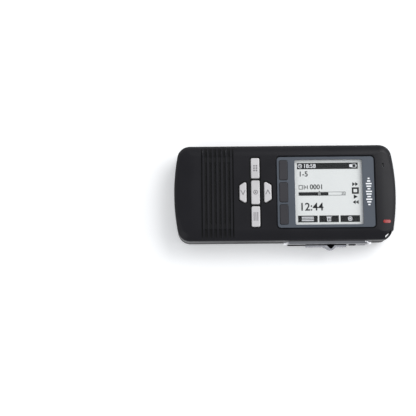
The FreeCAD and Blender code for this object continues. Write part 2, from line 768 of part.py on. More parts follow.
def dock_window(number, gap):
    """One contact pad in the bottom end wall, grown by a gap for its window."""
    y = (number - (DOCK_PADS - 1) / 2) * DOCK_PITCH
    half_y = DOCK_PAD_WIDTH / 2 + gap
    half_z = DOCK_PAD_HEIGHT / 2 + gap
    return block(DOCK_SUNK - TOP_X - 4 * gap, DOCK_SUNK - TOP_X + DOCK_PAD_LENGTH, y - half_y,
                 y + half_y, DOCK_Z - half_z, DOCK_Z + half_z)


def screw_wells():
    """Each screw's hole through its rear boss, with the well that its head sits in."""
    cuts = []
    for x, y in screw_places():
        cuts.append(disc(SCREW_RADIUS + SCREW_CLEARANCE, x, y, 0, THICKNESS))
        cuts.append(disc(SCREW_HEAD_RADIUS + SCREW_CLEARANCE, x, y, -1, SCREW_SUNK + SCREW_HEAD_HEIGHT))
    return cuts


def rear_housing():
    """The rear shell: battery bay, screw bosses, lip and the channel for the door."""
    below = block(-LENGTH, LENGTH, -WIDTH, WIDTH, -1, SPLIT_Z)
    shell = CASE.common(below).cut(CAVITY)
    lip_outside = plan_block(SIDE_WALL / 2 + FIT, SPLIT_Z - FIT, SPLIT_Z + LIP_HEIGHT)
    lip = lip_outside.cut(plan_block(SIDE_WALL, 0, THICKNESS))
    front_posts = [disc(BOSS_RADIUS + FIT, x, y, SPLIT_Z, THICKNESS) for x, y in screw_places()]
    lip = lip.cut(front_posts + [eyelet_backing(SPLIT_Z, THICKNESS)])
    bosses = [disc(BOSS_RADIUS, x, y, REAR_WALL - TINY, SPLIT_Z).common(CASE) for x, y in screw_places()]
    shell = shell.fuse([lip, eyelet_backing(0, SPLIT_Z)] + bosses + battery_bay())
    bay = block(BAY_X0, BAY_X1, -BAY_Y, BAY_Y, -1, BAY_Z1)
    pads = [dock_window(number, FIT) for number in range(DOCK_PADS)]
    cuts = shared_holes() + screw_wells() + eyelet_cuts() + pads + [bay, door_form(DOOR_GAP)]
    return shell.cut(cuts)


def housing_screws():
    """Four cross-head screws from the rear."""
    screws = []
    for x, y in screw_places():
        head = disc(SCREW_HEAD_RADIUS, x, y, SCREW_SUNK, SCREW_SUNK + SCREW_HEAD_HEIGHT)
        shank = disc(SCREW_RADIUS, x, y, SCREW_SUNK, SCREW_Z1)
        half = CROSS_WIDTH / 2
        z1 = SCREW_SUNK + CROSS_DEPTH
        cross = [block(x - CROSS_REACH, x + CROSS_REACH, y - half, y + half, 0, z1),
                 block(x - half, x + half, y - CROSS_REACH, y + CROSS_REACH, 0, z1)]
        screws.append(head.fuse(shank).removeSplitter().cut(cross))
    return Part.Compound(screws)


def lanyard_bar():
    """The bar bent around the corner, which a wrist strap loops over."""
    half = EYE_BAR_HEIGHT / 2
    return ring_sector(EYE_BAR_RADIUS - EYE_BAR, EYE_BAR_RADIUS, SPLIT_Z - half, SPLIT_Z + half,
                       EYE_START - EYE_BITE, EYE_END + EYE_BITE)


def dock_contacts():
    """The row of charging and docking pads in the bottom end."""
    return Part.Compound([dock_window(number, 0) for number in range(DOCK_PADS)])


# ---- Batteries ----

def cell_ends():
    """For each cell: its place across the case, and the way its button points along X."""
    return [(CELL_PITCH / 2, 1), (-CELL_PITCH / 2, -1)]


def cell_start(way):
    """The lower X end of a cell whose button points one way or the other."""
    near_contact = BAY_X0 + CONTACT_THICKNESS + FIT
    return near_contact + SPRING_LENGTH if way > 0 else near_contact


def battery_cell(y, way):
    """One cell: can and button."""
    x0 = cell_start(way)
    can_length = CELL_LENGTH - CELL_BUTTON_HEIGHT
    can_x0 = x0 if way > 0 else x0 + CELL_BUTTON_HEIGHT
    can = rod(CELL_RADIUS, can_x0, can_x0 + can_length, y, CELL_Z)
    rims = [edge for edge in can.Edges if edge.Curve.TypeId == "Part::GeomCircle"]
    button = rod(CELL_BUTTON_RADIUS, x0, x0 + CELL_LENGTH, y, CELL_Z)
    return can.makeFillet(CELL_EDGE, rims).fuse(button).removeSplitter()


def battery_contacts():
    """The two contact plates at the ends of the bay."""
    y = BAY_Y - CONTACT_MARGIN
    z0 = DOOR_THICKNESS + CONTACT_MARGIN
    z1 = BAY_Z1 - CONTACT_MARGIN
    low = block(BAY_X0, BAY_X0 + CONTACT_THICKNESS, -y, y, z0, z1)
    high = block(BAY_X1 - CONTACT_THICKNESS, BAY_X1, -y, y, z0, z1)
    return Part.Compound([low, high])


def battery_springs():
    """The tapered contact springs at each cell's flat end, as joined rings."""
    springs = []
    for y, way in cell_ends():
        x = BAY_X0 + CONTACT_THICKNESS if way > 0 else BAY_X1 - CONTACT_THICKNESS
        reach = (SPRING_LENGTH - 2 * FIT) * way
        rings = []
        for number in range(SPRING_RINGS):
            share = number / (SPRING_RINGS - 1)
            radius = SPRING_RADIUS + (SPRING_TIP_RADIUS - SPRING_RADIUS) * share
            place = x + SPRING_WIRE * way + (reach - 2 * SPRING_WIRE * way) * share
            rings.append(Part.makeTorus(radius, SPRING_WIRE, Vector(place, y, CELL_Z), Vector(1, 0, 0)))
        foot = Vector(x, y, CELL_Z)
        along = Vector(way, 0, 0)
        cone = Part.makeCone(SPRING_RADIUS, SPRING_TIP_RADIUS, abs(reach), foot, along)
        core = Part.makeCone(SPRING_RADIUS - SPRING_WIRE, SPRING_TIP_RADIUS - SPRING_WIRE, abs(reach),
                             foot, along)
        half = SPRING_WIRE / 2
        strip = block(min(x, x + reach), max(x, x + reach), y - SPRING_RADIUS, y + SPRING_RADIUS,
                      CELL_Z - half, CELL_Z + half)
        links = cone.cut(core).common(strip)
        springs.append(merged(rings + links.Solids))
    return Part.Compound(springs)


# ---- Bezel, window and display ----

def display_bezel():
    """The plate around the display, with an opening for it and one for each soft key."""
    half = BEZEL_WIDTH / 2
    plate = soft_block(BEZEL_X0, BEZEL_X1, -half, half, BEZEL_Z0, BEZEL_Z1, BEZEL_RADIUS)
    plate = plate.makeChamfer(BEZEL_CHAMFER, level_edges(plate, BEZEL_Z1))
    window_y = WINDOW_WIDTH / 2
    cuts = [soft_block(WINDOW_X0, WINDOW_X1, -window_y, window_y, 0, THICKNESS, WINDOW_RADIUS)]
    for y in soft_keys().values():
        cuts.append(plan_prism(soft_outline(y), RUN_GAP, 0, THICKNESS, KEY_CORNER + RUN_GAP))
    return plate.cut(cuts)


def display_window():
    """The clear window: a pane flush in the bezel on a wider rim behind it."""
    half = WINDOW_WIDTH / 2 - FIT
    pane = soft_block(WINDOW_X0 + FIT, WINDOW_X1 - FIT, -half, half,
                      GLASS_Z1 + WINDOW_TO_GLASS, BEZEL_Z1 - WINDOW_SUNK, WINDOW_RADIUS)
    wide = half + WINDOW_RIM
    rim = block(WINDOW_X0 - WINDOW_RIM, WINDOW_X1 + WINDOW_RIM, -wide, wide,
                BEZEL_Z0 - FIT - WINDOW_RIM_THICKNESS, BEZEL_Z0 - FIT)
    return pane.fuse(rim).removeSplitter()


def display_glass():
    """The liquid crystal cell, with its driver strip."""
    top = block(GLASS_X0, WINDOW_X1 + GLASS_MARGIN, -GLASS_Y, GLASS_Y, GLASS_Z0, GLASS_Z1)
    base = block(GLASS_X0, GLASS_X1, -GLASS_Y, GLASS_Y, GLASS_Z0, GLASS_Z0 + GLASS_THICKNESS / 2)
    return top.fuse(base).removeSplitter()


def display_backlight():
    """The light guide behind the glass."""
    return block(GLASS_X0, GLASS_X1, -GLASS_Y, GLASS_Y, BACKLIGHT_Z0, BACKLIGHT_Z0 + BACKLIGHT_THICKNESS)


def display_carrier():
    """The frame that holds the glass and light guide on the board."""
    outer_y = GLASS_Y + FIT + CARRIER_WALL
    inner_y = GLASS_Y + FIT
    outer = block(GLASS_X0 - FIT - CARRIER_WALL, GLASS_X1 + FIT + CARRIER_WALL, -outer_y, outer_y,
                  BACKLIGHT_Z0, GLASS_Z1)
    inner = block(GLASS_X0 - FIT, GLASS_X1 + FIT, -inner_y, inner_y, 0, THICKNESS)
    return outer.cut(inner)


def display_flex():
    """The flat cable from the display down to its connector on the board."""
    x = GLASS_X1 + 2 * FIT + CARRIER_WALL
    half = FLEX_WIDTH / 2
    riser = block(x, x + FLEX_THICKNESS, -half, half, BACKLIGHT_Z0, GLASS_Z1)
    foot = block(x, x + FLEX_FOOT, -half, half, BACKLIGHT_Z0, BACKLIGHT_Z0 + FLEX_THICKNESS)
    connector = block(x + FLEX_FOOT / 2, x + FLEX_FOOT, -half, half, BACKLIGHT_Z0,
                      BACKLIGHT_Z0 + 4 * FLEX_THICKNESS)
    return merged([riser, foot, connector])


# ---- Keys ----

def silver_key(outline):
    """A hard key: a cap with eased edges on a wider flange that the cover holds in."""
    top_z = THICKNESS + KEY_PROUD
    cap = plan_prism(outline, 0, KEY_FOOT_Z, top_z, KEY_CORNER)
    cap = cap.makeFillet(KEY_EDGE, level_edges(cap, top_z))
    flange = plan_prism(outline, KEY_FLANGE, KEY_FOOT_Z, UNDERSIDE_Z - 2 * FIT, KEY_CORNER)
    return cap.fuse(flange).removeSplitter()


def soft_key(y):
    """A key in the bezel, held in by a flange that is widest towards the display."""
    half = SOFT_KEY_LENGTH / 2
    top_z = BEZEL_Z1 + SOFT_KEY_PROUD
    cap = plan_prism(soft_outline(y), 0, KEY_FOOT_Z, top_z, KEY_CORNER)
    cap = cap.makeFillet(KEY_EDGE / 2, level_edges(cap, top_z))
    flange_z1 = BEZEL_Z0 - 2 * FIT
    flange = block(SOFT_KEY_X0 - SOFT_FLANGE_SIDE, SOFT_KEY_X1 + KEY_FLANGE, y - half - SOFT_FLANGE_SIDE,
                   y + half + SOFT_FLANGE_SIDE, flange_z1 - SOFT_FLANGE_THICKNESS, flange_z1)
    return cap.fuse(flange).removeSplitter()


def key_centres():
    """The middle of every key on the front, in plan."""
    centres = []
    for outline in front_keys().values():
        xs = [x for x, y in outline]
        ys = [y for x, y in outline]
        centres.append(((min(xs) + max(xs)) / 2, (min(ys) + max(ys)) / 2))
    for y in soft_keys().values():
        centres.append(((SOFT_KEY_X0 + SOFT_KEY_X1) / 2, y))
    return centres


def keypad_mat():
    """The rubber sheet that seals the keys from the domes."""
    half = KEY_ROW_Y + SIDE_KEY_LENGTH + MAT_MARGIN
    return soft_block(DOWN_KEY_X0 - MAT_MARGIN, SOFT_KEY_X1 + MAT_MARGIN / 2, -half, half, MAT_Z0, MAT_Z1,
                      KEY_CORNER)


def key_domes():
    """The metal snap domes, one under every key."""
    domes = []
    for x, y in key_centres():
        radius = (DOME_RADIUS ** 2 + DOME_HEIGHT ** 2) / (2 * DOME_HEIGHT)
        ball = Part.makeSphere(radius, Vector(x, y, BOARD_Z1 + DOME_HEIGHT - radius))
        domes.append(ball.common(disc(DOME_RADIUS * 2, x, y, BOARD_Z1, BOARD_Z1 + 1)))
    return Part.Compound(domes)


# ---- Board and what it carries ----

def main_board():
    """The circuit board, notched around the screw posts and the lanyard corner."""
    half = SIDE_Y - BOARD_FROM_SIDE
    board = soft_block(BOARD_X0, TOP_X - BOARD_FROM_END, -half, half, BOARD_Z0, BOARD_Z1, BOARD_RADIUS)
    notches = [disc(BOSS_RADIUS + BOARD_GAP, x, y, 0, THICKNESS) for x, y in screw_places()]
    backing = EYE_BACK_RADIUS - EYE_BACK_WALL - BOARD_GAP
    notches.append(ring_sector(backing, 2 * CORNER_RADIUS, 0, THICKNESS, EYE_START - 3 * EYE_BITE,
                               EYE_END + 3 * EYE_BITE))
    room = plan_block(SIDE_WALL + BOARD_GAP, BOARD_Z0, BOARD_Z1)
    return board.common(room).cut(notches)


def processor_shield():
    """The folded can over the processor, under the board."""
    x0, y0 = CHIP_X0, CHIP_Y0
    outer = block(x0, x0 + CHIP_LENGTH, y0, y0 + CHIP_WIDTH, BOARD_Z0 - FIT - SHIELD_HEIGHT, BOARD_Z0 - FIT)
    wall = SHIELD_WALL
    inner = block(x0 + wall, x0 + CHIP_LENGTH - wall, y0 + wall, y0 + CHIP_WIDTH - wall,
                  BOARD_Z0 - FIT - SHIELD_HEIGHT + wall, THICKNESS)
    return outer.cut(inner)


def board_chips():
    """The processor, its memory and the audio converter, under the board."""
    z1 = BOARD_Z0 - FIT
    middle_x = CHIP_X0 + CHIP_LENGTH / 2
    middle_y = CHIP_Y0 + CHIP_WIDTH / 2
    z0 = z1 - CHIP_HEIGHT
    y0 = middle_y - PROCESSOR_SIDE / 2
    y1 = middle_y + PROCESSOR_SIDE / 2
    processor = block(middle_x - PROCESSOR_SIDE, middle_x - CHIP_GAP, y0, y1, z0, z1)
    memory = block(middle_x + CHIP_GAP, middle_x + PROCESSOR_SIDE - CHIP_GAP, y0, y1, z0, z1)
    y1 = CHIP_Y0 - CHIP_GAP
    converter = block(middle_x - CONVERTER_SIDE, middle_x, y1 - CONVERTER_SIDE, y1, z0, z1)
    return Part.Compound([processor, memory, converter])


def microphone_capsule():
    """The microphone under its slot."""
    z1 = UNDERSIDE_Z - CAVITY_RADIUS / 2
    return disc(CAPSULE_RADIUS, MIC_X, MIC_Y, z1 - CAPSULE_HEIGHT, z1)


def microphone_boot():
    """The rubber cup that seals the microphone to the board."""
    z1 = UNDERSIDE_Z - CAVITY_RADIUS / 2
    cup = disc(CAPSULE_RADIUS + FIT + BOOT_WALL, MIC_X, MIC_Y, BOARD_Z1 + FIT, z1)
    return cup.cut(disc(CAPSULE_RADIUS + FIT, MIC_X, MIC_Y, z1 - CAPSULE_HEIGHT - FIT, THICKNESS))


def led_light_pipe():
    """The red lens of the recording light, down to the diode on the board."""
    cover = CASE.translated(Vector(0, 0, LIGHT_PROUD))
    return light_outline(0, BOARD_Z1 + LED_HEIGHT + 2 * FIT, THICKNESS + 1).common(cover)


def status_led():
    """The diode under the light pipe."""
    half_length = LED_LENGTH / 2
    half_width = LED_WIDTH / 2
    return block(LIGHT_X - half_length, LIGHT_X + half_length, LIGHT_Y - half_width,
                 LIGHT_Y + half_width, BOARD_Z1, BOARD_Z1 + LED_HEIGHT)


# ---- Speaker ----

def speaker_grille():
    """The ribbed panel over the speaker: level ribs tied together by a low bar at each end."""
    half = GRILLE_WIDTH / 2
    panel = soft_block(GRILLE_X0, GRILLE_X1, -half, half, GRILLE_Z0, GRILLE_Z1, GRILLE_RADIUS)
    open_y = half - RIB_TIE_LENGTH
    tie_z = GRILLE_Z0 + RIB_TIE_THICKNESS
    cuts = []
    for x0, x1 in rib_gaps():
        cuts.append(block(x0, x1, -open_y, open_y, 0, THICKNESS))
        cuts.append(block(x0, x1, -half, half, tie_z, THICKNESS))
    return panel.cut(cuts)


def speaker_gasket():
    """The soft ring between the speaker and the cover."""
    z0 = SPEAKER_Z1 + FIT
    ring = disc(SPEAKER_RADIUS, GRILLE_X, 0, z0, z0 + GASKET_THICKNESS)
    return ring.cut(disc(SPEAKER_RADIUS - SPEAKER_RIM, GRILLE_X, 0, 0, THICKNESS))


def speaker_basket():
    """The speaker's frame: an open cup with a seat for the magnet."""
    cup = disc(SPEAKER_RADIUS, GRILLE_X, 0, SPEAKER_Z0, SPEAKER_Z1)
    hollow = disc(SPEAKER_RADIUS - SPEAKER_RIM / 2, GRILLE_X, 0, SPEAKER_Z0 + CONE_THICKNESS, THICKNESS)
    return cup.cut(hollow)


def speaker_magnet():
    """The magnet on the floor of the basket."""
    z0 = SPEAKER_Z0 + CONE_THICKNESS
    return disc(MAGNET_RADIUS, GRILLE_X, 0, z0, z0 + MAGNET_HEIGHT)


def speaker_cone():
    """The diaphragm: a thin dish with a raised middle."""
    outer = SPEAKER_RADIUS - SPEAKER_RIM / 2 - FIT
    z1 = SPEAKER_Z1 - CONE_THICKNESS
    rim = disc(outer, GRILLE_X, 0, z1 - CONE_THICKNESS, z1)
    dish_radius = outer * 2
    dish = Part.makeSphere(dish_radius, Vector(GRILLE_X, 0, z1 - dish_radius + CONE_THICKNESS * 2))
    crown = dish.common(disc(MAGNET_RADIUS, GRILLE_X, 0, z1 - CONE_THICKNESS, THICKNESS))
    return rim.fuse(crown).removeSplitter()


# ---- Slide switch rail ----

def side_rail_frame():
    """The metal frame on the side, with openings for the slide switch, button and lens."""
    outer = side_slot(RAIL_X0, RAIL_X1, RAIL_HEIGHT, -SIDE_Y - RAIL_PROUD, -WALL_Y)
    outer = outer.makeFillet(RAIL_EDGE, side_face_edges(outer, -SIDE_Y - RAIL_PROUD))
    flange = side_slot(RAIL_X0 - RAIL_FLANGE, RAIL_X1 + RAIL_FLANGE, RAIL_HEIGHT + 2 * RAIL_FLANGE,
                       FIT - WALL_Y, FIT - WALL_Y + RAIL_FLANGE_THICKNESS)
    inner_half = SLIDER_HEIGHT / 2 + SLIDER_FLANGE + RUN_GAP
    inner = block(SLIDER_SLOT_X0 - SLIDER_FLANGE, LENS_X1 + RECORD_FLANGE + RUN_GAP, -WALL_Y, SIDE_Y,
                  SPLIT_Z - inner_half, SPLIT_Z + inner_half)
    neck = side_slot(RAIL_X0, RAIL_X1, RAIL_HEIGHT, -WALL_Y - TINY, FIT - WALL_Y + TINY)
    frame = outer.fuse([flange, neck]).cut(inner)
    slider_height = SLIDER_HEIGHT + 2 * RUN_GAP
    cuts = [
        soft_block(SLIDER_SLOT_X0, SLIDER_SLOT_X1, -SIDE_Y - SLIDER_PROUD, SIDE_Y,
                   SPLIT_Z - slider_height / 2, SPLIT_Z + slider_height / 2, SLIDER_SLOT_CORNER,
                   Vector(0, 1, 0)),
        side_slot(RECORD_X0 - RUN_GAP, RECORD_X1 + RUN_GAP, RECORD_HEIGHT + 2 * RUN_GAP,
                  -SIDE_Y - SLIDER_PROUD, 0),
        side_slot(LENS_X0 - FIT, LENS_X1 + FIT, LENS_HEIGHT + 2 * FIT, -SIDE_Y - SLIDER_PROUD, 0),
    ]
    return frame.cut(cuts)


def toothed_run(start, end):
    """Points along a straight edge with notches cut in from it, on its +Y side."""
    run = Vector(end[0] - start[0], end[1] - start[1], 0)
    count = round(run.Length / TOOTH_PITCH)
    inwards = Vector(-run.y, run.x, 0).normalize() * TOOTH_DEPTH
    points = []
    for number in range(count):
        for share, depth in ((0, 0), (TOOTH_FLAT, 0), ((1 + TOOTH_FLAT) / 2, 1)):
            place = Vector(start[0], start[1], 0) + run * ((number + share) / count) + inwards * depth
            points.append((place.x, place.y))
    return points


def slider_grip():
    """The outside of the slide switch in plan: a toothed bar with a pointed hump for the thumb."""
    outer_y = -SIDE_Y - SLIDER_PROUD
    peak_y = -SIDE_Y - HUMP_PROUD
    corners = [(SLIDER_X0, outer_y), (HUMP_X0, outer_y), (HUMP_PEAK_X0, peak_y)]
    points = [(SLIDER_X0, -WALL_Y)]
    points += toothed_run(corners[0], corners[1]) + toothed_run(corners[1], corners[2])
    points.append(corners[2])
    points += toothed_run((HUMP_PEAK_X1, peak_y), (HUMP_X1, outer_y))
    points += toothed_run((HUMP_X1, outer_y), (SLIDER_X1, outer_y))
    points += [(SLIDER_X1, outer_y), (SLIDER_X1, -WALL_Y)]
    half = SLIDER_HEIGHT / 2
    return sharp_prism(points, SPLIT_Z - half, SPLIT_Z + half)


def hump_dish():
    """The dished part of the thumb hump, in plan: the hump's own outline inside its rim."""
    rim = HUMP_RIM
    base_y = -SIDE_Y - RAIL_PROUD
    peak_y = rim - SIDE_Y - HUMP_PROUD
    return [(HUMP_X0 + 2 * rim, base_y), (HUMP_PEAK_X0 + rim / 2, peak_y),
            (HUMP_PEAK_X1 - rim / 2, peak_y), (HUMP_X1 - rim, base_y)]


def slide_switch():
    """The sliding part that the thumb moves, with the flange that keeps it behind the rail."""
    half = SLIDER_HEIGHT / 2 + SLIDER_FLANGE
    flange = block(SLIDER_X0 - SLIDER_FLANGE, SLIDER_X1 + SLIDER_FLANGE, FIT - WALL_Y, SLIDER_BACK_Y,
                   SPLIT_Z - half, SPLIT_Z + half)
    stem_half = SLIDER_HEIGHT / 2
    stem = block(SLIDER_X0, SLIDER_X1, -WALL_Y - TINY, SLIDER_BACK_Y, SPLIT_Z - stem_half,
                 SPLIT_Z + stem_half)
    dish = sharp_prism(hump_dish(), SPLIT_Z + stem_half - HUMP_DISH, THICKNESS)
    return merged([slider_grip(), stem, flange]).cut(dish)


def slide_carriage():
    """The slide switch's inner carriage, with the nose that drops into the detents."""
    middle = (SLIDER_X0 + SLIDER_X1) / 2
    half_x = CARRIAGE_LENGTH / 2
    half_z = CARRIAGE_HEIGHT / 2
    body = block(middle - half_x, middle + half_x, SLIDER_BACK_Y, CARRIAGE_BACK_Y,
                 SPLIT_Z - half_z, SPLIT_Z + half_z)
    nose = disc(DETENT_NOSE, middle, CARRIAGE_BACK_Y, SPLIT_Z - half_z, SPLIT_Z + half_z)
    return body.fuse(nose).removeSplitter()


def detent_spring():
    """The leaf spring on the switch body that the carriage nose runs along."""
    y0 = CARRIAGE_BACK_Y + DETENT_NOSE + FIT
    return block(SENSOR_X0, SENSOR_X1, y0, y0 + DETENT_THICKNESS, SPLIT_Z - CARRIAGE_HEIGHT / 2,
                 SPLIT_Z + CARRIAGE_HEIGHT / 2)


def slide_sensor():
    """The four-position switch body that the slide switch works."""
    y0 = CARRIAGE_BACK_Y + DETENT_NOSE + DETENT_THICKNESS + 2 * FIT
    return block(SENSOR_X0, SENSOR_X1, y0, y0 + SENSOR_DEPTH, SPLIT_Z - CARRIAGE_HEIGHT / 2, BOARD_Z0 - FIT)


def record_button():
    """The small push button beside the slide switch."""
    face_y = -SIDE_Y - RECORD_PROUD
    cap = side_slot(RECORD_X0, RECORD_X1, RECORD_HEIGHT, face_y, FIT + RECORD_FLANGE - WALL_Y)
    cap = cap.makeFillet(KEY_EDGE, side_face_edges(cap, face_y))
    flange_z = RECORD_HEIGHT / 2 + RECORD_FLANGE
    flange = block(RECORD_X0 - RECORD_FLANGE / 2, RECORD_X1 + RECORD_FLANGE / 2, FIT - WALL_Y,
                   FIT + RECORD_FLANGE - WALL_Y, SPLIT_Z - flange_z, SPLIT_Z + flange_z)
    return cap.fuse(flange).removeSplitter()


def record_tact_switch():
    """The snap switch behind the record button: housing and plunger."""
    middle = (RECORD_X0 + RECORD_X1) / 2
    half_x = TACT_WIDTH / 2
    half_z = TACT_HEIGHT / 2
    y0 = FIT + RECORD_FLANGE - WALL_Y + RECORD_TRAVEL + FIT
    return block(middle - half_x, middle + half_x, y0, y0 + TACT_DEPTH, SPLIT_Z - half_z, SPLIT_Z + half_z)


def rail_lens():
    """The clear lens in the rail beside the record button."""
    lens = side_slot(LENS_X0, LENS_X1, LENS_HEIGHT, -SIDE_Y - LENS_PROUD, FIT - WALL_Y)
    flange = side_slot(LENS_X0 - FIT, LENS_X1 + RECORD_FLANGE, LENS_HEIGHT + RECORD_FLANGE, FIT - WALL_Y,
                       FIT - WALL_Y + RAIL_FLANGE_THICKNESS)
    return lens.fuse(flange).removeSplitter()


# ---- Hold switch ----

def hold_switch_knob():
    """The ribbed slider on the other side that locks the keys."""
    y1 = SIDE_Y + HOLD_PROUD
    back_y = WALL_Y - FIT - HOLD_FLANGE_THICKNESS
    knob = side_slot(HOLD_X0, HOLD_X1, HOLD_HEIGHT, back_y, y1)
    flange = block(HOLD_X0 - HOLD_FLANGE, HOLD_X1 + HOLD_FLANGE, back_y, WALL_Y - FIT,
                   SPLIT_Z - HOLD_HEIGHT / 2 - HOLD_FLANGE, SPLIT_Z + HOLD_HEIGHT / 2 + HOLD_FLANGE)
    knob = knob.fuse(flange).removeSplitter()
    middle = (HOLD_X0 + HOLD_X1) / 2
    grooves = []
    for number in range(HOLD_GROOVE_COUNT):
        place = middle + (number - (HOLD_GROOVE_COUNT - 1) / 2) * HOLD_GROOVE_PITCH
        grooves.append(block(place - HOLD_GROOVE_WIDTH / 2, place + HOLD_GROOVE_WIDTH / 2,
                             y1 - HOLD_GROOVE_DEPTH, y1 + 1, 0, THICKNESS))
    return knob.cut(grooves)


def hold_switch_body():
    """The switch that the hold knob works, hung from the board."""
    y1 = WALL_Y - HOLD_FLANGE_THICKNESS - 3 * FIT
    return block(HOLD_X0 - HOLD_FLANGE, HOLD_X1 + HOLD_FLANGE, y1 - HOLD_BODY_DEPTH, y1,
                 SPLIT_Z - HOLD_HEIGHT / 2, BOARD_Z0 - FIT)


# ---- Memory card, sockets ----

def memory_card():
    """The removable card, with its clipped corner."""
    x1 = CARD_X0 + CARD_WIDTH
    y0 = CARD_Y1 - CARD_LENGTH
    points = [(CARD_X0 + CARD_CORNER, y0), (x1, y0), (x1, CARD_Y1), (CARD_X0, CARD_Y1),
              (CARD_X0, y0 + CARD_CORNER)]
    return sharp_prism(points, CARD_Z0, CARD_Z1)


def card_socket():
    """The pressed cage that guides the card, under the board."""
    gap = CARD_GAP
    wall = SOCKET_WALL
    y0 = CARD_Y1 - CARD_LENGTH - gap
    outer = block(CARD_X0 - gap - wall, CARD_X0 + CARD_WIDTH + gap + wall, y0 - wall, y0 + SOCKET_LENGTH,
                  CARD_Z0 - gap - wall, BOARD_Z0 - FIT)
    inner = block(CARD_X0 - gap, CARD_X0 + CARD_WIDTH + gap, y0, SIDE_Y, CARD_Z0 - gap, CARD_Z1 + gap)
    return outer.cut(inner)


def usb_socket():
    """The small USB socket: a shell open to the side, with the contact tongue inside."""
    half = USB_WIDTH / 2
    y1 = SIDE_Y - USB_SUNK
    shell = soft_block(USB_X - half, USB_X + half, y1 - USB_LENGTH, y1, USB_Z0, USB_Z1, USB_WALL * 2,
                       Vector(0, 1, 0))
    wall = USB_WALL
    hollow = block(USB_X - half + wall, USB_X + half - wall, y1 - USB_LENGTH + 2 * wall, y1 + 1,
                   USB_Z0 + wall, USB_Z1 - wall)
    tongue_half = half - 3 * wall
    middle_z = (USB_Z0 + USB_Z1) / 2
    tongue = block(USB_X - tongue_half, USB_X + tongue_half, y1 - USB_LENGTH + wall, y1 - USB_TONGUE_SUNK,
                   middle_z - USB_TONGUE / 2, middle_z + USB_TONGUE / 2)
    return shell.cut(hollow).fuse(tongue).removeSplitter()


def jack(y):
    """A 3.5 mm jack socket: a body under the board and a round nose in the end wall."""
    half = JACK_BODY_WIDTH / 2
    body = block(JACK_BODY_X1 - JACK_BODY_LENGTH, JACK_BODY_X1, y - half, y + half,
                 SPLIT_Z - JACK_BODY_DROP, BOARD_Z0 - FIT)
    nose = rod(JACK_COLLAR_RADIUS, JACK_BODY_X1 - TINY, JACK_END_X, y, SPLIT_Z)
    bore = rod(JACK_BORE_RADIUS, JACK_END_X - JACK_DEPTH, TOP_X, y, SPLIT_Z)
    return body.fuse(nose).removeSplitter().cut(bore)


# ---- Export ----

def recorder():
    """Every piece: node name to shape."""
    pieces = {
        "front_housing": front_housing(),
        "rear_housing": rear_housing(),
        "battery_door": battery_door(),
        "housing_screws": housing_screws(),
        "lanyard_bar": lanyard_bar(),
        "dock_contacts": dock_contacts(),
        "battery_contacts": battery_contacts(),
        "battery_springs": battery_springs(),
        "display_bezel": display_bezel(),
        "display_window": display_window(),
        "display_glass": display_glass(),
        "display_backlight": display_backlight(),
        "display_carrier": display_carrier(),
        "display_flex": display_flex(),
        "keypad_mat": keypad_mat(),
        "key_domes": key_domes(),
        "main_board": main_board(),
        "processor_shield": processor_shield(),
        "board_chips": board_chips(),
        "microphone_capsule": microphone_capsule(),
        "microphone_boot": microphone_boot(),
        "led_light_pipe": led_light_pipe(),
        "status_led": status_led(),
        "speaker_grille": speaker_grille(),
        "speaker_gasket": speaker_gasket(),
        "speaker_basket": speaker_basket(),
        "speaker_magnet": speaker_magnet(),
        "speaker_cone": speaker_cone(),
        "side_rail_frame": side_rail_frame(),
        "slide_switch": slide_switch(),
        "slide_carriage": slide_carriage(),
        "detent_spring": detent_spring(),
        "slide_sensor": slide_sensor(),
        "record_button": record_button(),
        "record_tact_switch": record_tact_switch(),
        "rail_lens": rail_lens(),
        "hold_switch_knob": hold_switch_knob(),
        "hold_switch_body": hold_switch_body(),
        "memory_card": memory_card(),
        "card_socket": card_socket(),
        "usb_socket": usb_socket(),
        "headset_jack": jack(-JACK_Y),
        "microphone_jack": jack(JACK_Y),
    }
    for name, (y, way) in zip(("battery_cell_left", "battery_cell_right"), cell_ends()):
        pieces[name] = battery_cell(y, way)
    for name, outline in front_keys().items():
        pieces[name] = silver_key(outline)
    for name, y in soft_keys().items():
        pieces[name] = soft_key(y)
    return pieces


os.makedirs("parts", exist_ok=True)
for node, shape in recorder().items():
    shape.exportStep(os.path.join("parts", node + ".step"))
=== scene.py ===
import json
import math

import bmesh
import bpy
from mathutils import Matrix, Vector


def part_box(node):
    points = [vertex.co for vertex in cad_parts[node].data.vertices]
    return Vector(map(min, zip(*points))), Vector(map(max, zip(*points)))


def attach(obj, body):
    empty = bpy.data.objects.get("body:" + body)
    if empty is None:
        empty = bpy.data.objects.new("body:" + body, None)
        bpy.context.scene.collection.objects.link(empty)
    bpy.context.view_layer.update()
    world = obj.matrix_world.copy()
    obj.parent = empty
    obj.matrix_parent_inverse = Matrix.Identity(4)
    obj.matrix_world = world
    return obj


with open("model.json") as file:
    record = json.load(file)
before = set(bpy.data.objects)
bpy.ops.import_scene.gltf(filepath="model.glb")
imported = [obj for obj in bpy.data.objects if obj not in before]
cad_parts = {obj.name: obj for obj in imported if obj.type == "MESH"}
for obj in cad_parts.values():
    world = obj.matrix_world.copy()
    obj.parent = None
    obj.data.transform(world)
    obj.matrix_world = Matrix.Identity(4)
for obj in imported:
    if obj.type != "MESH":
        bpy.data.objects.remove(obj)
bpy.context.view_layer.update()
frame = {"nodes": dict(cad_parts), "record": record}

MM = 0.001

# ---- Camera ----
CAMERA_ELEVATION = 81.0        # degrees above the table, from the slide-switch side
CAMERA_DISTANCE = 600 * MM
CAMERA_LENS = 95.0
CAMERA_ROLL = 0.55             # degrees
SENSOR_WIDTH = 36.0
CLIP_START = 10 * MM
AIM_X = -42.4 * MM             # the view's middle lies near the recorder's lower end
AIM_Y = -8.4 * MM

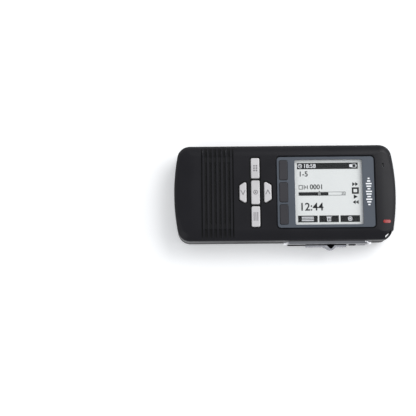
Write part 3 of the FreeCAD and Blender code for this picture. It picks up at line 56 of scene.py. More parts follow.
# ---- Studio ----
FLOOR_SIZE = 6.0
FLOOR_DROP = 0.05 * MM         # below the recorder's rear, so that the two never share a plane
FLOOR_COLOUR = (0.90, 0.90, 0.90)
FLOOR_GLOW = 0.22
WORLD_COLOUR = (0.93, 0.96, 1.0)
WORLD_STRENGTH = 0.60
LIGHTS = (                     # name, place, aim, size, watts
    ("key_light", (0.55, 0.45, 0.70), (0.02, 0, 0), 0.7, 6.0),
    ("fill_light", (-0.7, -0.4, 0.6), (0, 0, 0), 0.9, 1.6),
    ("end_light", (0.9, -0.1, 0.45), (0.05, 0, 0), 0.5, 1.5),
)

# ---- Colours, linear ----
CHARCOAL = (0.0064, 0.0060, 0.0084)
CHARCOAL_REAR = (0.0100, 0.0097, 0.0115)
# painted shade: near-black laid over wells, grooves and gaps that lie in deep shadow
PAINTED_SHADE_BLACK = (0.004, 0.004, 0.0045)
BEZEL_BLUE_GREY = (0.080, 0.092, 0.112)
KEY_SILVER = (0.65, 0.63, 0.635)
KEY_DARK = (0.030, 0.029, 0.034)
LCD_PALE = (0.705, 0.72, 0.71)
LCD_INK = (0.006, 0.007, 0.007)
LCD_INK_LIGHT = (0.30, 0.31, 0.31)
LEGEND_GREY = (0.16, 0.15, 0.16)
WHITE_INK = (0.85, 0.86, 0.88)
CHROME = (0.88, 0.88, 0.90)
# painted reflection: the dark grey given to the rail's middle
PAINTED_REFLECTION_GREY = (0.26, 0.26, 0.275)
LENS_MILK = (0.62, 0.63, 0.65)
WINDOW_TINT = (0.35, 0.36, 0.37)
SATIN_METAL = (0.46, 0.46, 0.49)
STEEL = (0.50, 0.50, 0.50)
GOLD = (0.78, 0.55, 0.18)
RED = (0.26, 0.006, 0.005)
RED_GLOW = (1.0, 0.012, 0.012)
BLACK_PLASTIC = (0.012, 0.012, 0.013)
RUBBER_BLACK = (0.010, 0.010, 0.011)
CLOTH_BLACK = (0.02, 0.02, 0.021)
WHITE_PLASTIC = (0.72, 0.72, 0.70)
BOARD_GREEN = (0.010, 0.085, 0.035)
AMBER = (0.45, 0.16, 0.02)
CELL_DARK = (0.02, 0.02, 0.024)
CELL_BAND = (0.42, 0.30, 0.10)
CARD_BLUE = (0.018, 0.030, 0.10)
LABEL_GREY = (0.35, 0.37, 0.42)

# ---- Finishes and painted shade ----
GRAIN_DEPTH = 0.04 * MM
PATCH_SCALE = 55.0             # slow changes of tone and gloss, in features per metre
SCUFF_SCALE = 420.0
SCUFF_STRETCH = (1.0, 0.25, 1.0)
SCUFF_START = 0.60             # noise above which paint is rubbed, and rubbed most
SCUFF_FULL = 0.74
SCUFF_BRIGHTNESS = 2.4         # rubbed paint against fresh paint
ROUGHNESS_SWING = 0.15         # share by which gloss varies over a surface
CASE_SHADOW = 0.5 * MM         # depth below the front from which its wells are painted near-black as shade
GRILLE_SHADOW = 0.4 * MM
BEZEL_SHADOW = 0.2 * MM        # the same, below the bezel's top
SLIDER_SHADOW = 0.9 * MM       # the same, below the slide switch's top
SLIDER_EDGE = 0.5 * MM         # how near the rail the slide switch's level faces are painted near-black as shade
LEVEL = 0.99                   # upward part of a level face's normal
UPRIGHT = 0.15                 # most sideways tilt of a well's floor or end
FRONT_REACH_X = 50 * MM        # the front's wells and grooves lie within these
FRONT_REACH_Y = 20 * MM
RAIL_END_NEAR = 4 * MM         # the painted dark reflection along the rail's middle gives way to bright metal between these distances from its ends
RAIL_END_FAR = 2 * MM
LCD_CELL = 0.28 * MM           # pitch of the display's dots
LCD_GAP = 0.03                 # share of a dot's pitch
CLOTH_THREADS = 900.0
CLOTH_DEPTH = 0.1 * MM
CELL_BAND_SHARE = 0.28         # of the battery's length
CELL_BAND_EDGE = 0.1 * MM

# ---- Printed marks, in millimetres unless multiplied by MM ----
INK_HEIGHT = 0.03 * MM         # how far printed marks stand off their surface
MITRE_LIMIT = 0.35             # keeps a sharp corner of a line from growing a spike
CHEVRON_REACH = 1.2
CHEVRON_LINE = 0.4
KEY_RING_RADIUS = 1.25
RING_LINE = 0.35
DOT_RADIUS = 0.45
MENU_BAR_LENGTH = 4.8
MENU_BAR_WIDTH = 0.4
GRID_SQUARE = 0.8
GRID_ACROSS = 0.65
GRID_ALONG = 1.3
SOUND_BARS = (1.2, 2.2, 3.3, 2.0, 2.8, 3.3, 1.6, 2.6, 3.2, 1.8, 1.0)
SOUND_BAR_PITCH = 1.45
SOUND_BAR_WIDTH = 0.76
DOOR_ARROW = ((2.2, 3.0), (-1.4, 0), (2.2, -3.0))
DOOR_ARROW_LINE = 0.6
DOOR_ARROW_SHARE = 0.35        # of the door's length, from its lower end
CARD_MARGIN = 2.5 * MM
CARD_PLACES = 9                # contact places across the card
CARD_PLACES_CLIPPED = 2        # those that the clipped corner leaves out
CONTACT_SHARE = 0.3            # half a contact's width, of the pitch
CONTACT_START = 1 * MM
CONTACT_END = 5 * MM
CLOTH_MARGIN = 0.6 * MM
CLOTH_THICKNESS = 0.12 * MM
CLOTH_LIFT = 0.15 * MM

# ---- Display, in millimetres from its visible area's lower left corner ----
LCD_HEIGHT = 0.05 * MM         # from one layer of marks to the next
MARK_LIFT = 0.2                # of that height, between a layer's foot and its shapes
MARK_THICKNESS = 0.8
DIGIT_LIFT = 0.7               # the same for the middle of its digits
DIGIT_SHARE = 0.70             # a digit's height as a share of the type's size
DIGIT_BOLDNESS = 0.02
SCREEN_INSET = 1.9             # from the glass's end
SCREEN_WIDTH = 36.9
SCREEN_HEIGHT = 35.9
BORDER_LINE = 0.35
FINE_LINE = 0.3
HEADER = (1.4, 31.0, 34.9, 34.5)
HEADER_DIGITS = ("18:58", 4.8, 31.7, 2.2)          # digits, x, y, height
CLOCK_MIDDLE = (3.0, 32.75)
CLOCK_HANDS = ((3.0, 33.6), (3.0, 32.7), (3.6, 32.7))
ICON_RADIUS = 1.2
BATTERY = (30.0, 31.7, 33.9, 33.8)
BATTERY_LINE = 0.25
BATTERY_LEVEL = (30.0, 31.7, 32.0, 33.8)
BATTERY_TIP = (33.9, 32.3, 34.3, 33.2)
COUNT_DIGITS = ("1-5", 2.1, 27.0, 2.8)
FILE_DIGITS = ("0001", 8.2, 19.8, 2.6)
FILE_FRAME = (2.1, 19.7, 4.3, 22.1)
FILE_BARS = ((4.9, 19.7, 5.3, 22.1), (5.8, 20.3, 6.2, 21.5), (6.7, 19.9, 7.1, 21.9))
TRACK = (2.0, 16.2, 27.8, 18.3)
PLAYED_BARS = ((2.0, 16.2, 12.9, 18.0), (13.9, 16.2, 18.3, 18.0))
MARKER = (13.2, 16.0, 13.6, 18.7)
LENGTH_DIGITS = ("20", 25.4, 16.6, 1.7)
TIME_DIGITS = ("12:44", 2.2, 8.0, 4.2)
ARROWS = (("forward", 22.4, 1), ("rewind", 12.4, -1))   # name, y, direction
ARROW_X = 33.2
ARROW_LENGTH = 1.6
ARROW_REACH = 1.1
STOP = (31.3, 17.0, 35.1, 20.6)
STOP_LINE = 0.9
PLAY = ((32.2, 14.2), (34.4, 15.4), (32.2, 16.6))
LABELS_X = (1.4, 13.0, 24.6)
LABEL_WIDTH = 10.7
LABEL_Y0 = 1.4
LABEL_Y1 = 5.1
LIST_ROWS = (2.1, 3.05, 4.0)
LIST_X0 = 3.4
LIST_X1 = 10.0
LIST_LINE = 0.45
BIN = (17.3, 1.9, 19.4, 4.0)
BIN_BARS = ((16.9, 4.15, 19.8, 4.45), (18.2, 2.2, 18.5, 3.7))
TOOL_MIDDLE = (29.9, 3.25)


# ---- Material building ----

def node_tree(name):
    """A new material with its shader: the material, its nodes, links and Principled shader."""
    material = bpy.data.materials.new(name)
    material.use_nodes = True
    nodes = material.node_tree.nodes
    return material, nodes, material.node_tree.links, nodes["Principled BSDF"]


def noise(nodes, links, scale, detail=3.0, stretch=(1, 1, 1)):
    """Noise that stays with the object. The scale is in features per metre."""
    coordinates = nodes.new("ShaderNodeTexCoord")
    mapping = nodes.new("ShaderNodeMapping")
    mapping.inputs["Scale"].default_value = stretch
    texture = nodes.new("ShaderNodeTexNoise")
    texture.inputs["Scale"].default_value = scale
    texture.inputs["Detail"].default_value = detail
    links.new(coordinates.outputs["Object"], mapping.inputs["Vector"])
    links.new(mapping.outputs["Vector"], texture.inputs["Vector"])
    return texture.outputs["Fac"]


def spread(nodes, links, source, low, high, source_low=0.3, source_high=0.7):
    """A number that follows another between two limits."""
    node = nodes.new("ShaderNodeMapRange")
    node.inputs["From Min"].default_value = source_low
    node.inputs["From Max"].default_value = source_high
    node.inputs["To Min"].default_value = low
    node.inputs["To Max"].default_value = high
    links.new(source, node.inputs["Value"])
    return node.outputs["Result"]


def mixed(nodes, links, share, first, second):
    """A colour between two others. Each is a colour or another node's output."""
    node = nodes.new("ShaderNodeMix")
    node.data_type = "RGBA"
    links.new(share, node.inputs["Factor"])
    for socket, value in ((node.inputs[6], first), (node.inputs[7], second)):
        if isinstance(value, tuple):
            socket.default_value = (*value, 1.0)
        else:
            links.new(value, socket)
    return node.outputs[2]


def scaled(colour, factor):
    """A colour made lighter or darker."""
    return tuple(min(1.0, channel * factor) for channel in colour)


def bump(nodes, links, shader, height, strength, depth):
    """Fine relief from a height."""
    node = nodes.new("ShaderNodeBump")
    node.inputs["Strength"].default_value = strength
    node.inputs["Distance"].default_value = depth
    links.new(height, node.inputs["Height"])
    links.new(node.outputs["Normal"], shader.inputs["Normal"])


def arithmetic(nodes, links, operation, first, second=None):
    """One sum or test on numbers. Each is a number or another node's output."""
    node = nodes.new("ShaderNodeMath")
    node.operation = operation
    for socket, value in zip(node.inputs, (first, second)):
        if value is None:
            continue
        if isinstance(value, float):
            socket.default_value = value
        else:
            links.new(value, socket)
    return node.outputs[0]


def object_axes(nodes, links, output):
    """The X, Y and Z of a place or a normal in the object's own frame."""
    coordinates = nodes.new("ShaderNodeTexCoord")
    split = nodes.new("ShaderNodeSeparateXYZ")
    links.new(coordinates.outputs[output], split.inputs["Vector"])
    return split.outputs


# ---- Materials ----

def surface(name, colour, roughness, metallic=0.0, grain=2600.0, relief=0.10, cloud=0.10, wear=0.0,
            stretch=(1, 1, 1), gloss=0.5, painted_shade=None):
    """A moulded, painted or metal surface: mottled colour, uneven gloss, fine grain, rubbed spots.

    The last argument, if given, builds from the nodes the share of the surface that is in deep
    shadow, and that share is painted near-black as shade."""
    material, nodes, links, shader = node_tree(name)
    patches = noise(nodes, links, PATCH_SCALE, detail=4.0)
    fine = noise(nodes, links, grain, detail=2.0, stretch=stretch)
    tone = spread(nodes, links, patches, low=0.0, high=1.0)
    base = mixed(nodes, links, tone, scaled(colour, 1 - cloud), scaled(colour, 1 + cloud))
    if wear:
        scuffs = noise(nodes, links, SCUFF_SCALE, detail=6.0, stretch=SCUFF_STRETCH)
        rubbed = spread(nodes, links, scuffs, low=0.0, high=wear, source_low=SCUFF_START,
                        source_high=SCUFF_FULL)
        base = mixed(nodes, links, rubbed, base, scaled(colour, SCUFF_BRIGHTNESS))
    # painted shade: the share in deep shadow is coloured near-black
    if painted_shade:
        base = mixed(nodes, links, painted_shade(nodes, links), base, PAINTED_SHADE_BLACK)
    links.new(base, shader.inputs["Base Color"])
    sheen = spread(nodes, links, patches, low=roughness * (1 - ROUGHNESS_SWING),
                   high=roughness * (1 + ROUGHNESS_SWING))
    links.new(sheen, shader.inputs["Roughness"])
    shader.inputs["Metallic"].default_value = metallic
    shader.inputs["Specular IOR Level"].default_value = gloss
    bump(nodes, links, shader, fine, relief, GRAIN_DEPTH)
    return material


def below(z):
    """Deep shadow on everything under a height."""
    def share(nodes, links):
        return arithmetic(nodes, links, "LESS_THAN", object_axes(nodes, links, "Object")["Z"], z)
    return share


def inside_slider(z, y):
    """Deep shadow on the slide switch's level faces: under a height, and near the rail."""
    def share(nodes, links):
        place = object_axes(nodes, links, "Object")
        normal = object_axes(nodes, links, "Normal")
        under = arithmetic(nodes, links, "LESS_THAN", place["Z"], z)
        near_rail = arithmetic(nodes, links, "GREATER_THAN", place["Y"], y)
        facing_up = arithmetic(nodes, links, "GREATER_THAN", normal["Z"], LEVEL)
        either = arithmetic(nodes, links, "MAXIMUM", under, near_rail)
        return arithmetic(nodes, links, "MULTIPLY", either, facing_up)
    return share


def sunk_in_front(z):
    """Deep shadow in wells and grooves of the front, but not on the sides that curve away."""
    def share(nodes, links):
        place = object_axes(nodes, links, "Object")
        under = arithmetic(nodes, links, "LESS_THAN", place["Z"], z)
        across = arithmetic(nodes, links, "ABSOLUTE", place["Y"])
        in_middle = arithmetic(nodes, links, "LESS_THAN", across, FRONT_REACH_Y)
        tilt = arithmetic(nodes, links, "ABSOLUTE", object_axes(nodes, links, "Normal")["Y"])
        upright = arithmetic(nodes, links, "LESS_THAN", tilt, UPRIGHT)
        inside = arithmetic(nodes, links, "MAXIMUM", in_middle, upright)
        along = arithmetic(nodes, links, "ABSOLUTE", place["X"])
        short_of_ends = arithmetic(nodes, links, "LESS_THAN", along, FRONT_REACH_X)
        both = arithmetic(nodes, links, "MULTIPLY", under, inside)
        return arithmetic(nodes, links, "MULTIPLY", both, short_of_ends)
    return share


def clear_plastic(name, tint, alpha):
    """A clear pane: nearly invisible, with a gloss and the faintest haze."""
    material, nodes, links, shader = node_tree(name)
    haze = noise(nodes, links, scale=90.0)
    links.new(mixed(nodes, links, haze, scaled(tint, 0.94), tint), shader.inputs["Base Color"])
    links.new(spread(nodes, links, haze, low=0.03, high=0.09), shader.inputs["Roughness"])
    shader.inputs["Alpha"].default_value = alpha
    shader.inputs["IOR"].default_value = 1.49
    return material


def lit_plastic(name, colour, glow, strength):
    """A translucent part with light behind it."""
    material, nodes, links, shader = node_tree(name)
    depth = noise(nodes, links, scale=700.0, detail=2.0)
    links.new(mixed(nodes, links, depth, scaled(colour, 0.8), colour), shader.inputs["Base Color"])
    links.new(spread(nodes, links, depth, low=0.12, high=0.22), shader.inputs["Roughness"])
    shader.inputs["Emission Color"].default_value = (*glow, 1.0)
    shader.inputs["Emission Strength"].default_value = strength
    return material


def liquid_crystal(name):
    """The display's pale background, with its fine grid of dots."""
    material, nodes, links, shader = node_tree(name)
    coordinates = nodes.new("ShaderNodeTexCoord")
    brick = nodes.new("ShaderNodeTexBrick")
    brick.offset = 0.0
    brick.inputs["Scale"].default_value = 1.0 / LCD_CELL
    brick.inputs["Mortar Size"].default_value = LCD_GAP
    brick.inputs["Brick Width"].default_value = 1.0
    brick.inputs["Row Height"].default_value = 1.0
    for socket, brightness in (("Color1", 1.0), ("Color2", 0.985), ("Mortar", 0.90)):
        brick.inputs[socket].default_value = (*scaled(LCD_PALE, brightness), 1.0)
    links.new(coordinates.outputs["Object"], brick.inputs["Vector"])
    shade = noise(nodes, links, scale=30.0, detail=2.0)
    tone = spread(nodes, links, shade, low=0.0, high=0.25)
    links.new(mixed(nodes, links, tone, brick.outputs["Color"], scaled(LCD_PALE, 1.05)),
              shader.inputs["Base Color"])
    links.new(spread(nodes, links, shade, low=0.30, high=0.40), shader.inputs["Roughness"])
    shader.inputs["Specular IOR Level"].default_value = 0.2
    shader.inputs["Emission Color"].default_value = (*LCD_PALE, 1.0)
    shader.inputs["Emission Strength"].default_value = 0.10
    return material


def rail_metal(name):
    """The rail's polished metal, with a painted dark reflection that makes it greyer along its
    middle than at its two rounded ends.
    """
    material, nodes, links, shader = node_tree(name)
    low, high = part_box("side_rail_frame")
    middle = (low[0] + high[0]) / 2
    reach = (high[0] - low[0]) / 2
    along = arithmetic(nodes, links, "SUBTRACT", object_axes(nodes, links, "Object")["X"], middle)
    from_middle = arithmetic(nodes, links, "ABSOLUTE", along)
    at_end = spread(nodes, links, from_middle, low=0.0, high=1.0,
                    source_low=reach - RAIL_END_NEAR, source_high=reach - RAIL_END_FAR)
    streaks = noise(nodes, links, scale=260.0, stretch=(0.15, 1.0, 1.0))
    # painted reflection: the rail's middle is coloured dark grey for the dark things it would
    # reflect
    grey = mixed(nodes, links, streaks, scaled(PAINTED_REFLECTION_GREY, 0.75), scaled(PAINTED_REFLECTION_GREY, 1.25))
    links.new(mixed(nodes, links, at_end, grey, CHROME), shader.inputs["Base Color"])
    links.new(spread(nodes, links, streaks, low=0.08, high=0.16), shader.inputs["Roughness"])
    shader.inputs["Metallic"].default_value = 1.0
    bump(nodes, links, shader, streaks, strength=0.02, depth=GRAIN_DEPTH)
    return material


def banded_cell(name):
    """A battery's wrap: dark, with a metallic band at one end."""
    material, nodes, links, shader = node_tree(name)
    low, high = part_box("battery_cell_left")
    band_start = high[0] - CELL_BAND_SHARE * (high[0] - low[0])
    edge = {"source_low": band_start, "source_high": band_start + CELL_BAND_EDGE}
    along = object_axes(nodes, links, "Object")["X"]
    band = spread(nodes, links, along, low=0.0, high=1.0, **edge)
    links.new(mixed(nodes, links, band, CELL_DARK, CELL_BAND), shader.inputs["Base Color"])
    scuffs = noise(nodes, links, scale=300.0, detail=4.0)
    links.new(spread(nodes, links, scuffs, low=0.18, high=0.38), shader.inputs["Roughness"])
    links.new(spread(nodes, links, along, low=0.0, high=0.8, **edge), shader.inputs["Metallic"])
    return material


def woven(name, colour):
    """Acoustic cloth: two sets of fine threads."""
    material, nodes, links, shader = node_tree(name)
    coordinates = nodes.new("ShaderNodeTexCoord")
    weave = []
    for direction in ("X", "Y"):
        threads = nodes.new("ShaderNodeTexWave")
        threads.bands_direction = direction
        threads.inputs["Scale"].default_value = CLOTH_THREADS
        links.new(coordinates.outputs["Object"], threads.inputs["Vector"])
        weave.append(threads.outputs["Fac"])
    crossings = arithmetic(nodes, links, "MULTIPLY", *weave)
    shade = mixed(nodes, links, crossings, scaled(colour, 0.4), colour)
    links.new(shade, shader.inputs["Base Color"])
    shader.inputs["Roughness"].default_value = 0.85
    bump(nodes, links, shader, crossings, strength=0.6, depth=CLOTH_DEPTH)
    return material


def ink(name, colour, roughness=0.5, relief=0.03, cloud=0.05, gloss=0.1):
    """Print on the display, a key or the case."""
    return surface(name, colour, roughness, relief=relief, cloud=cloud, gloss=gloss)


# ---- Piece building ----

def add_piece(name, mesh, material, body):
    """Puts a finished mesh in the scene as a piece that rides on a body."""
    piece = bpy.data.objects.new(name, mesh)
    bpy.context.scene.collection.objects.link(piece)
    mesh.materials.clear()
    mesh.materials.append(material)
    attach(piece, body)


def prisms(name, outlines, z0, z1, material, body, place=None):
    """Flat shapes given as outlines in a plane, raised between two heights, as one piece."""
    work = bmesh.new()
    for outline in outlines:
        low = [work.verts.new((x, y, z0)) for x, y in outline]
        high = [work.verts.new((x, y, z1)) for x, y in outline]
        work.faces.new(list(reversed(low)))
        work.faces.new(high)
        for index in range(len(outline)):
            after = (index + 1) % len(outline)
            work.faces.new([low[index], low[after], high[after], high[index]])
    bmesh.ops.recalc_face_normals(work, faces=work.faces)
    mesh = bpy.data.meshes.new(name)
    work.to_mesh(mesh)
    work.free()
    if place is not None:
        mesh.transform(place)
    add_piece(name, mesh, material, body)


def printed(name, outlines, surface_z, material, body, place=None):
    """Ink that stands a little off a surface and reaches a little into it."""
    z0 = surface_z - INK_HEIGHT
    z1 = surface_z + INK_HEIGHT
    prisms(name, outlines, z0, z1, material, body, place)


def rectangle(x0, y0, x1, y1):
    """An outline with four corners."""
    return [(x0, y0), (x1, y0), (x1, y1), (x0, y1)]


def centred(x, y, width, height):
    """A rectangle about a middle."""
    return rectangle(x - width / 2, y - height / 2, x + width / 2, y + height / 2)


def frame_outline(x0, y0, x1, y1, line):
    """A hollow rectangle as four bars."""
    return [rectangle(x0, y0, x1, y0 + line), rectangle(x0, y1 - line, x1, y1),
            rectangle(x0, y0 + line, x0 + line, y1 - line),
            rectangle(x1 - line, y0 + line, x1, y1 - line)]


def stroke(points, width):
    """A line of even width through some points, with mitred corners."""
    left = []
    right = []
    for index, (x, y) in enumerate(points):
        before = points[max(index - 1, 0)]
        after = points[min(index + 1, len(points) - 1)]
        ways = [Vector((x - before[0], y - before[1])), Vector((after[0] - x, after[1] - y))]
        ways = [way.normalized() for way in ways if way.length > 0]
        mean = (ways[0] + ways[-1]).normalized()
        reach = width / 2 / max(MITRE_LIMIT, mean.dot(ways[0]))
        side = Vector((-mean.y, mean.x)) * reach
        left.append((x + side.x, y + side.y))
        right.append((x - side.x, y - side.y))
    return [[left[index], right[index], right[index + 1], left[index + 1]]
            for index in range(len(points) - 1)]


def circle_points(x, y, radius, steps):
    """Even points round a circle."""
    angles = [2 * math.pi * index / steps for index in range(steps)]
    return [(x + radius * math.cos(angle), y + radius * math.sin(angle)) for angle in angles]


def ring(x, y, radius, width, steps=24):
    """A circle drawn as a line."""
    outer = circle_points(x, y, radius, steps)
    inner = circle_points(x, y, radius - width, steps)
    quads = []
    for index in range(steps):
        after = (index + 1) % steps
        quads.append([outer[index], outer[after], inner[after], inner[index]])
    return quads


def round_dot(x, y, radius, steps=20):
    """A filled circle."""
    return circle_points(x, y, radius, steps)


def in_mm(outlines):
    """Outlines given in millimetres, in metres."""
    return [[(x * MM, y * MM) for x, y in outline] for outline in outlines]


def number_mesh(name, digits, height, material, body, place):
    """Digits in Blender's own typeface, laid flat at a place, as a mesh piece."""
    curve = bpy.data.curves.new(name + "_type", "FONT")
    curve.body = digits
    curve.size = height / DIGIT_SHARE
    curve.offset = height * DIGIT_BOLDNESS
    curve.extrude = LCD_HEIGHT / 2
    holder = bpy.data.objects.new(name + "_type", curve)
    bpy.context.scene.collection.objects.link(holder)
    depsgraph = bpy.context.evaluated_depsgraph_get()
    mesh = bpy.data.meshes.new_from_object(holder.evaluated_get(depsgraph))
    bpy.data.objects.remove(holder)
    mesh.name = name
    mesh.transform(place)
    add_piece(name, mesh, material, body)


# ---- Camera, floor and light ----

def make_camera():
    """The camera above the recorder, leaning towards the slide-switch side."""
    data = bpy.data.cameras.new("camera")
    data.lens = CAMERA_LENS
    data.sensor_width = SENSOR_WIDTH
    data.clip_start = CLIP_START
    camera = bpy.data.objects.new("camera", data)
    bpy.context.scene.collection.objects.link(camera)
    aim = Vector((AIM_X, AIM_Y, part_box("front_housing")[1][2]))
    lean = math.radians(CAMERA_ELEVATION)
    away = Vector((0, -math.cos(lean), math.sin(lean)))
    camera.location = aim + away * CAMERA_DISTANCE
    turn = Matrix.Rotation(math.radians(90 - CAMERA_ELEVATION), 4, "X")
    roll = Matrix.Rotation(math.radians(-CAMERA_ROLL), 4, "Z")
    camera.matrix_world = Matrix.Translation(camera.location) @ turn @ roll
    bpy.context.scene.camera = camera


def area_light(name, place, aim, size, watts):
    """A soft square light that points at a place."""
    data = bpy.data.lights.new(name, "AREA")
    data.size = size
    data.energy = watts
    light = bpy.data.objects.new(name, data)
    bpy.context.scene.collection.objects.link(light)
    light.location = place
    light.rotation_euler = (Vector(aim) - Vector(place)).to_track_quat("-Z", "Y").to_euler()


def make_studio():
    """Pale floor, pale surroundings and soft lights."""
    bpy.context.scene.view_settings.view_transform = "Standard"
    bpy.ops.mesh.primitive_plane_add(size=FLOOR_SIZE, location=(0, 0, -FLOOR_DROP))
    floor = bpy.context.object
    floor.name = "floor"
    material, nodes, links, shader = node_tree("floor_paper")
    paper = noise(nodes, links, scale=4.0, detail=2.0)
    links.new(mixed(nodes, links, paper, FLOOR_COLOUR, scaled(FLOOR_COLOUR, 1.03)),
              shader.inputs["Base Color"])
    shader.inputs["Roughness"].default_value = 0.9
    shader.inputs["Emission Color"].default_value = (1, 1, 1, 1)
    shader.inputs["Emission Strength"].default_value = FLOOR_GLOW
    floor.data.materials.append(material)
    world = bpy.data.worlds.new("studio")
    bpy.context.scene.world = world
    world.use_nodes = True
    background = world.node_tree.nodes["Background"]
    background.inputs["Color"].default_value = (*WORLD_COLOUR, 1.0)
    background.inputs["Strength"].default_value = WORLD_STRENGTH
    for light in LIGHTS:
        area_light(*light)


# ---- Display ----

def screen_corner():
    """The lower left corner of the display's visible area, on the glass's top."""
    low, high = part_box("display_glass")
    bezel_low, bezel_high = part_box("display_bezel")
    middle_y = (bezel_low[1] + bezel_high[1]) / 2
    return Vector((low[0] + SCREEN_INSET * MM, middle_y - SCREEN_HEIGHT * MM / 2, high[2]))


def screen_marks(black, grey, white):
    """Everything the display shows: header, file number, progress, time, transport, soft labels."""
    corner = screen_corner()
    place = Matrix.Translation(corner)

    def draw(name, outlines, material, level=0):
        z0 = (MARK_LIFT + level) * LCD_HEIGHT
        z1 = z0 + MARK_THICKNESS * LCD_HEIGHT
        prisms(name, in_mm(outlines), z0, z1, material, "case", place)

    def write(name, text, material, level=0):
        digits, x, y, height = text
        z = (DIGIT_LIFT + level) * LCD_HEIGHT
        spot = Matrix.Translation(corner + Vector((x * MM, y * MM, z)))
        number_mesh(name, digits, height * MM, material, "case", spot)

    draw("screen_header", [rectangle(*HEADER)], black)
    clock = ring(*CLOCK_MIDDLE, ICON_RADIUS, RING_LINE) + stroke(CLOCK_HANDS, FINE_LINE)
    draw("screen_clock", clock, white, 1)
    write("screen_header_digits", HEADER_DIGITS, white, 1)
    battery = frame_outline(*BATTERY, BATTERY_LINE)
    battery += [rectangle(*BATTERY_LEVEL), rectangle(*BATTERY_TIP)]
    draw("screen_battery", battery, white, 1)
    write("screen_count", COUNT_DIGITS, black)
    write("screen_file_number", FILE_DIGITS, black)
    file_icon = frame_outline(*FILE_FRAME, FINE_LINE) + [rectangle(*bar) for bar in FILE_BARS]
    draw("screen_file_icon", file_icon, black)
    draw("screen_track", frame_outline(*TRACK, FINE_LINE), grey)
    draw("screen_progress", [rectangle(*bar) for bar in PLAYED_BARS], black, 1)
    draw("screen_marker", [rectangle(*MARKER)], black)
    write("screen_length", LENGTH_DIGITS, grey, 1)
    write("screen_time", TIME_DIGITS, black)
    for name, y, way in ARROWS:
        arrows = []
        for x in (ARROW_X - way * ARROW_LENGTH, ARROW_X):
            arrows.append([(x, y - ARROW_REACH), (x + way * ARROW_LENGTH, y), (x, y + ARROW_REACH)])
        draw("screen_" + name, arrows if way > 0 else [arrow[::-1] for arrow in arrows], black)
    draw("screen_stop", frame_outline(*STOP, STOP_LINE), black)
    draw("screen_play", [PLAY], black)
    for number, x in enumerate(LABELS_X):
        label = rectangle(x, LABEL_Y0, x + LABEL_WIDTH, LABEL_Y1)
        draw("screen_label_%d" % number, [label], black)
    rows = [rectangle(LIST_X0, y, LIST_X1, y + LIST_LINE) for y in LIST_ROWS]
    draw("screen_list_icon", rows, white, 1)
    bin_icon = frame_outline(*BIN, FINE_LINE) + [rectangle(*bar) for bar in BIN_BARS]
    draw("screen_bin_icon", bin_icon, white, 1)
    tool = ring(*TOOL_MIDDLE, ICON_RADIUS, RING_LINE) + [round_dot(*TOOL_MIDDLE, DOT_RADIUS)]
    draw("screen_tool_icon", tool, white, 1)
    draw("screen_border", frame_outline(0, 0, SCREEN_WIDTH, SCREEN_HEIGHT, BORDER_LINE), white)


# ---- Marks on the keys and case ----

def key_mark(name, node, outlines, material):
    """A printed mark on top of a key, which moves with the key."""
    low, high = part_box(node)
    top = Matrix.Translation(((low[0] + high[0]) / 2, (low[1] + high[1]) / 2, high[2]))
    printed(name, in_mm(outlines), 0, material, node, top)


def key_marks(material):
    """Icons on the silver keys: arrows, a ring, a menu and a grid."""
    for name, node, way in (("mark_up", "key_up", 1), ("mark_down", "key_down", -1)):
        tail = -CHEVRON_REACH * way
        chevron = [(-CHEVRON_REACH, tail), (0, -tail), (CHEVRON_REACH, tail)]
        key_mark(name, node, stroke(chevron, CHEVRON_LINE), material)
    centre = ring(0, 0, KEY_RING_RADIUS, RING_LINE) + [round_dot(0, 0, DOT_RADIUS)]
    key_mark("mark_ok", "key_ok", centre, material)
    bars = [centred(x, 0, MENU_BAR_WIDTH, MENU_BAR_LENGTH) for x in (-1, 0, 1)]
    key_mark("mark_menu", "key_menu", bars, material)
    grid = [centred(x, y, GRID_SQUARE, GRID_SQUARE)
            for x in (-GRID_ACROSS, GRID_ACROSS) for y in (-GRID_ALONG, 0, GRID_ALONG)]
    key_mark("mark_index", "key_index", grid, material)


def bezel_glyph(material):
    """A row of sound bars on the bezel, beyond the display."""
    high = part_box("display_bezel")[1]
    middle_x = (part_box("display_window")[1][0] + high[0]) / 2
    bars = []
    for number, height in enumerate(SOUND_BARS):
        y = (number - (len(SOUND_BARS) - 1) / 2) * SOUND_BAR_PITCH
        bars.append(centred(0, y, height, SOUND_BAR_WIDTH))
    place = Matrix.Translation((middle_x, 0, high[2]))
    printed("bezel_sound_bars", in_mm(bars), 0, material, "case", place)


def rear_marks(material):
    """An arrow on the battery door."""
    low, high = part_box("battery_door")
    place = Matrix.Translation((low[0] + DOOR_ARROW_SHARE * (high[0] - low[0]), 0, low[2]))
    arrow = in_mm(stroke(DOOR_ARROW, DOOR_ARROW_LINE))
    printed("door_arrow", arrow, 0, material, "battery_door", place)


def card_marks(label, gold):
    """The memory card's blank label, and the row of contacts at its inner end."""
    low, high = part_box("memory_card")
    outline = rectangle(low[0] + CARD_MARGIN, low[1] + 2 * CARD_MARGIN,
                        high[0] - CARD_MARGIN, high[1] - CARD_MARGIN)
    printed("card_label", [outline], high[2], label, "memory_card")
    pitch = (high[0] - low[0] - 2 * CARD_MARGIN) / CARD_PLACES
    contacts = []
    for number in range(CARD_PLACES_CLIPPED, CARD_PLACES):
        x = low[0] + CARD_MARGIN + (number + 0.5) * pitch
        contacts.append(rectangle(x - CONTACT_SHARE * pitch, low[1] + CONTACT_START,
                                  x + CONTACT_SHARE * pitch, low[1] + CONTACT_END))
    printed("card_contacts", contacts, low[2], gold, "memory_card")


def speaker_cloth(material):
    """Woven cloth under the grille's slots."""
    low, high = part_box("speaker_grille")
    outline = rectangle(low[0] + CLOTH_MARGIN, low[1] + CLOTH_MARGIN,
                        high[0] - CLOTH_MARGIN, high[1] - CLOTH_MARGIN)
    z1 = low[2] + CLOTH_LIFT
    prisms("speaker_cloth", [outline], z1 - CLOTH_THICKNESS, z1, material, "case")


# ---- Looks of the CAD nodes ----

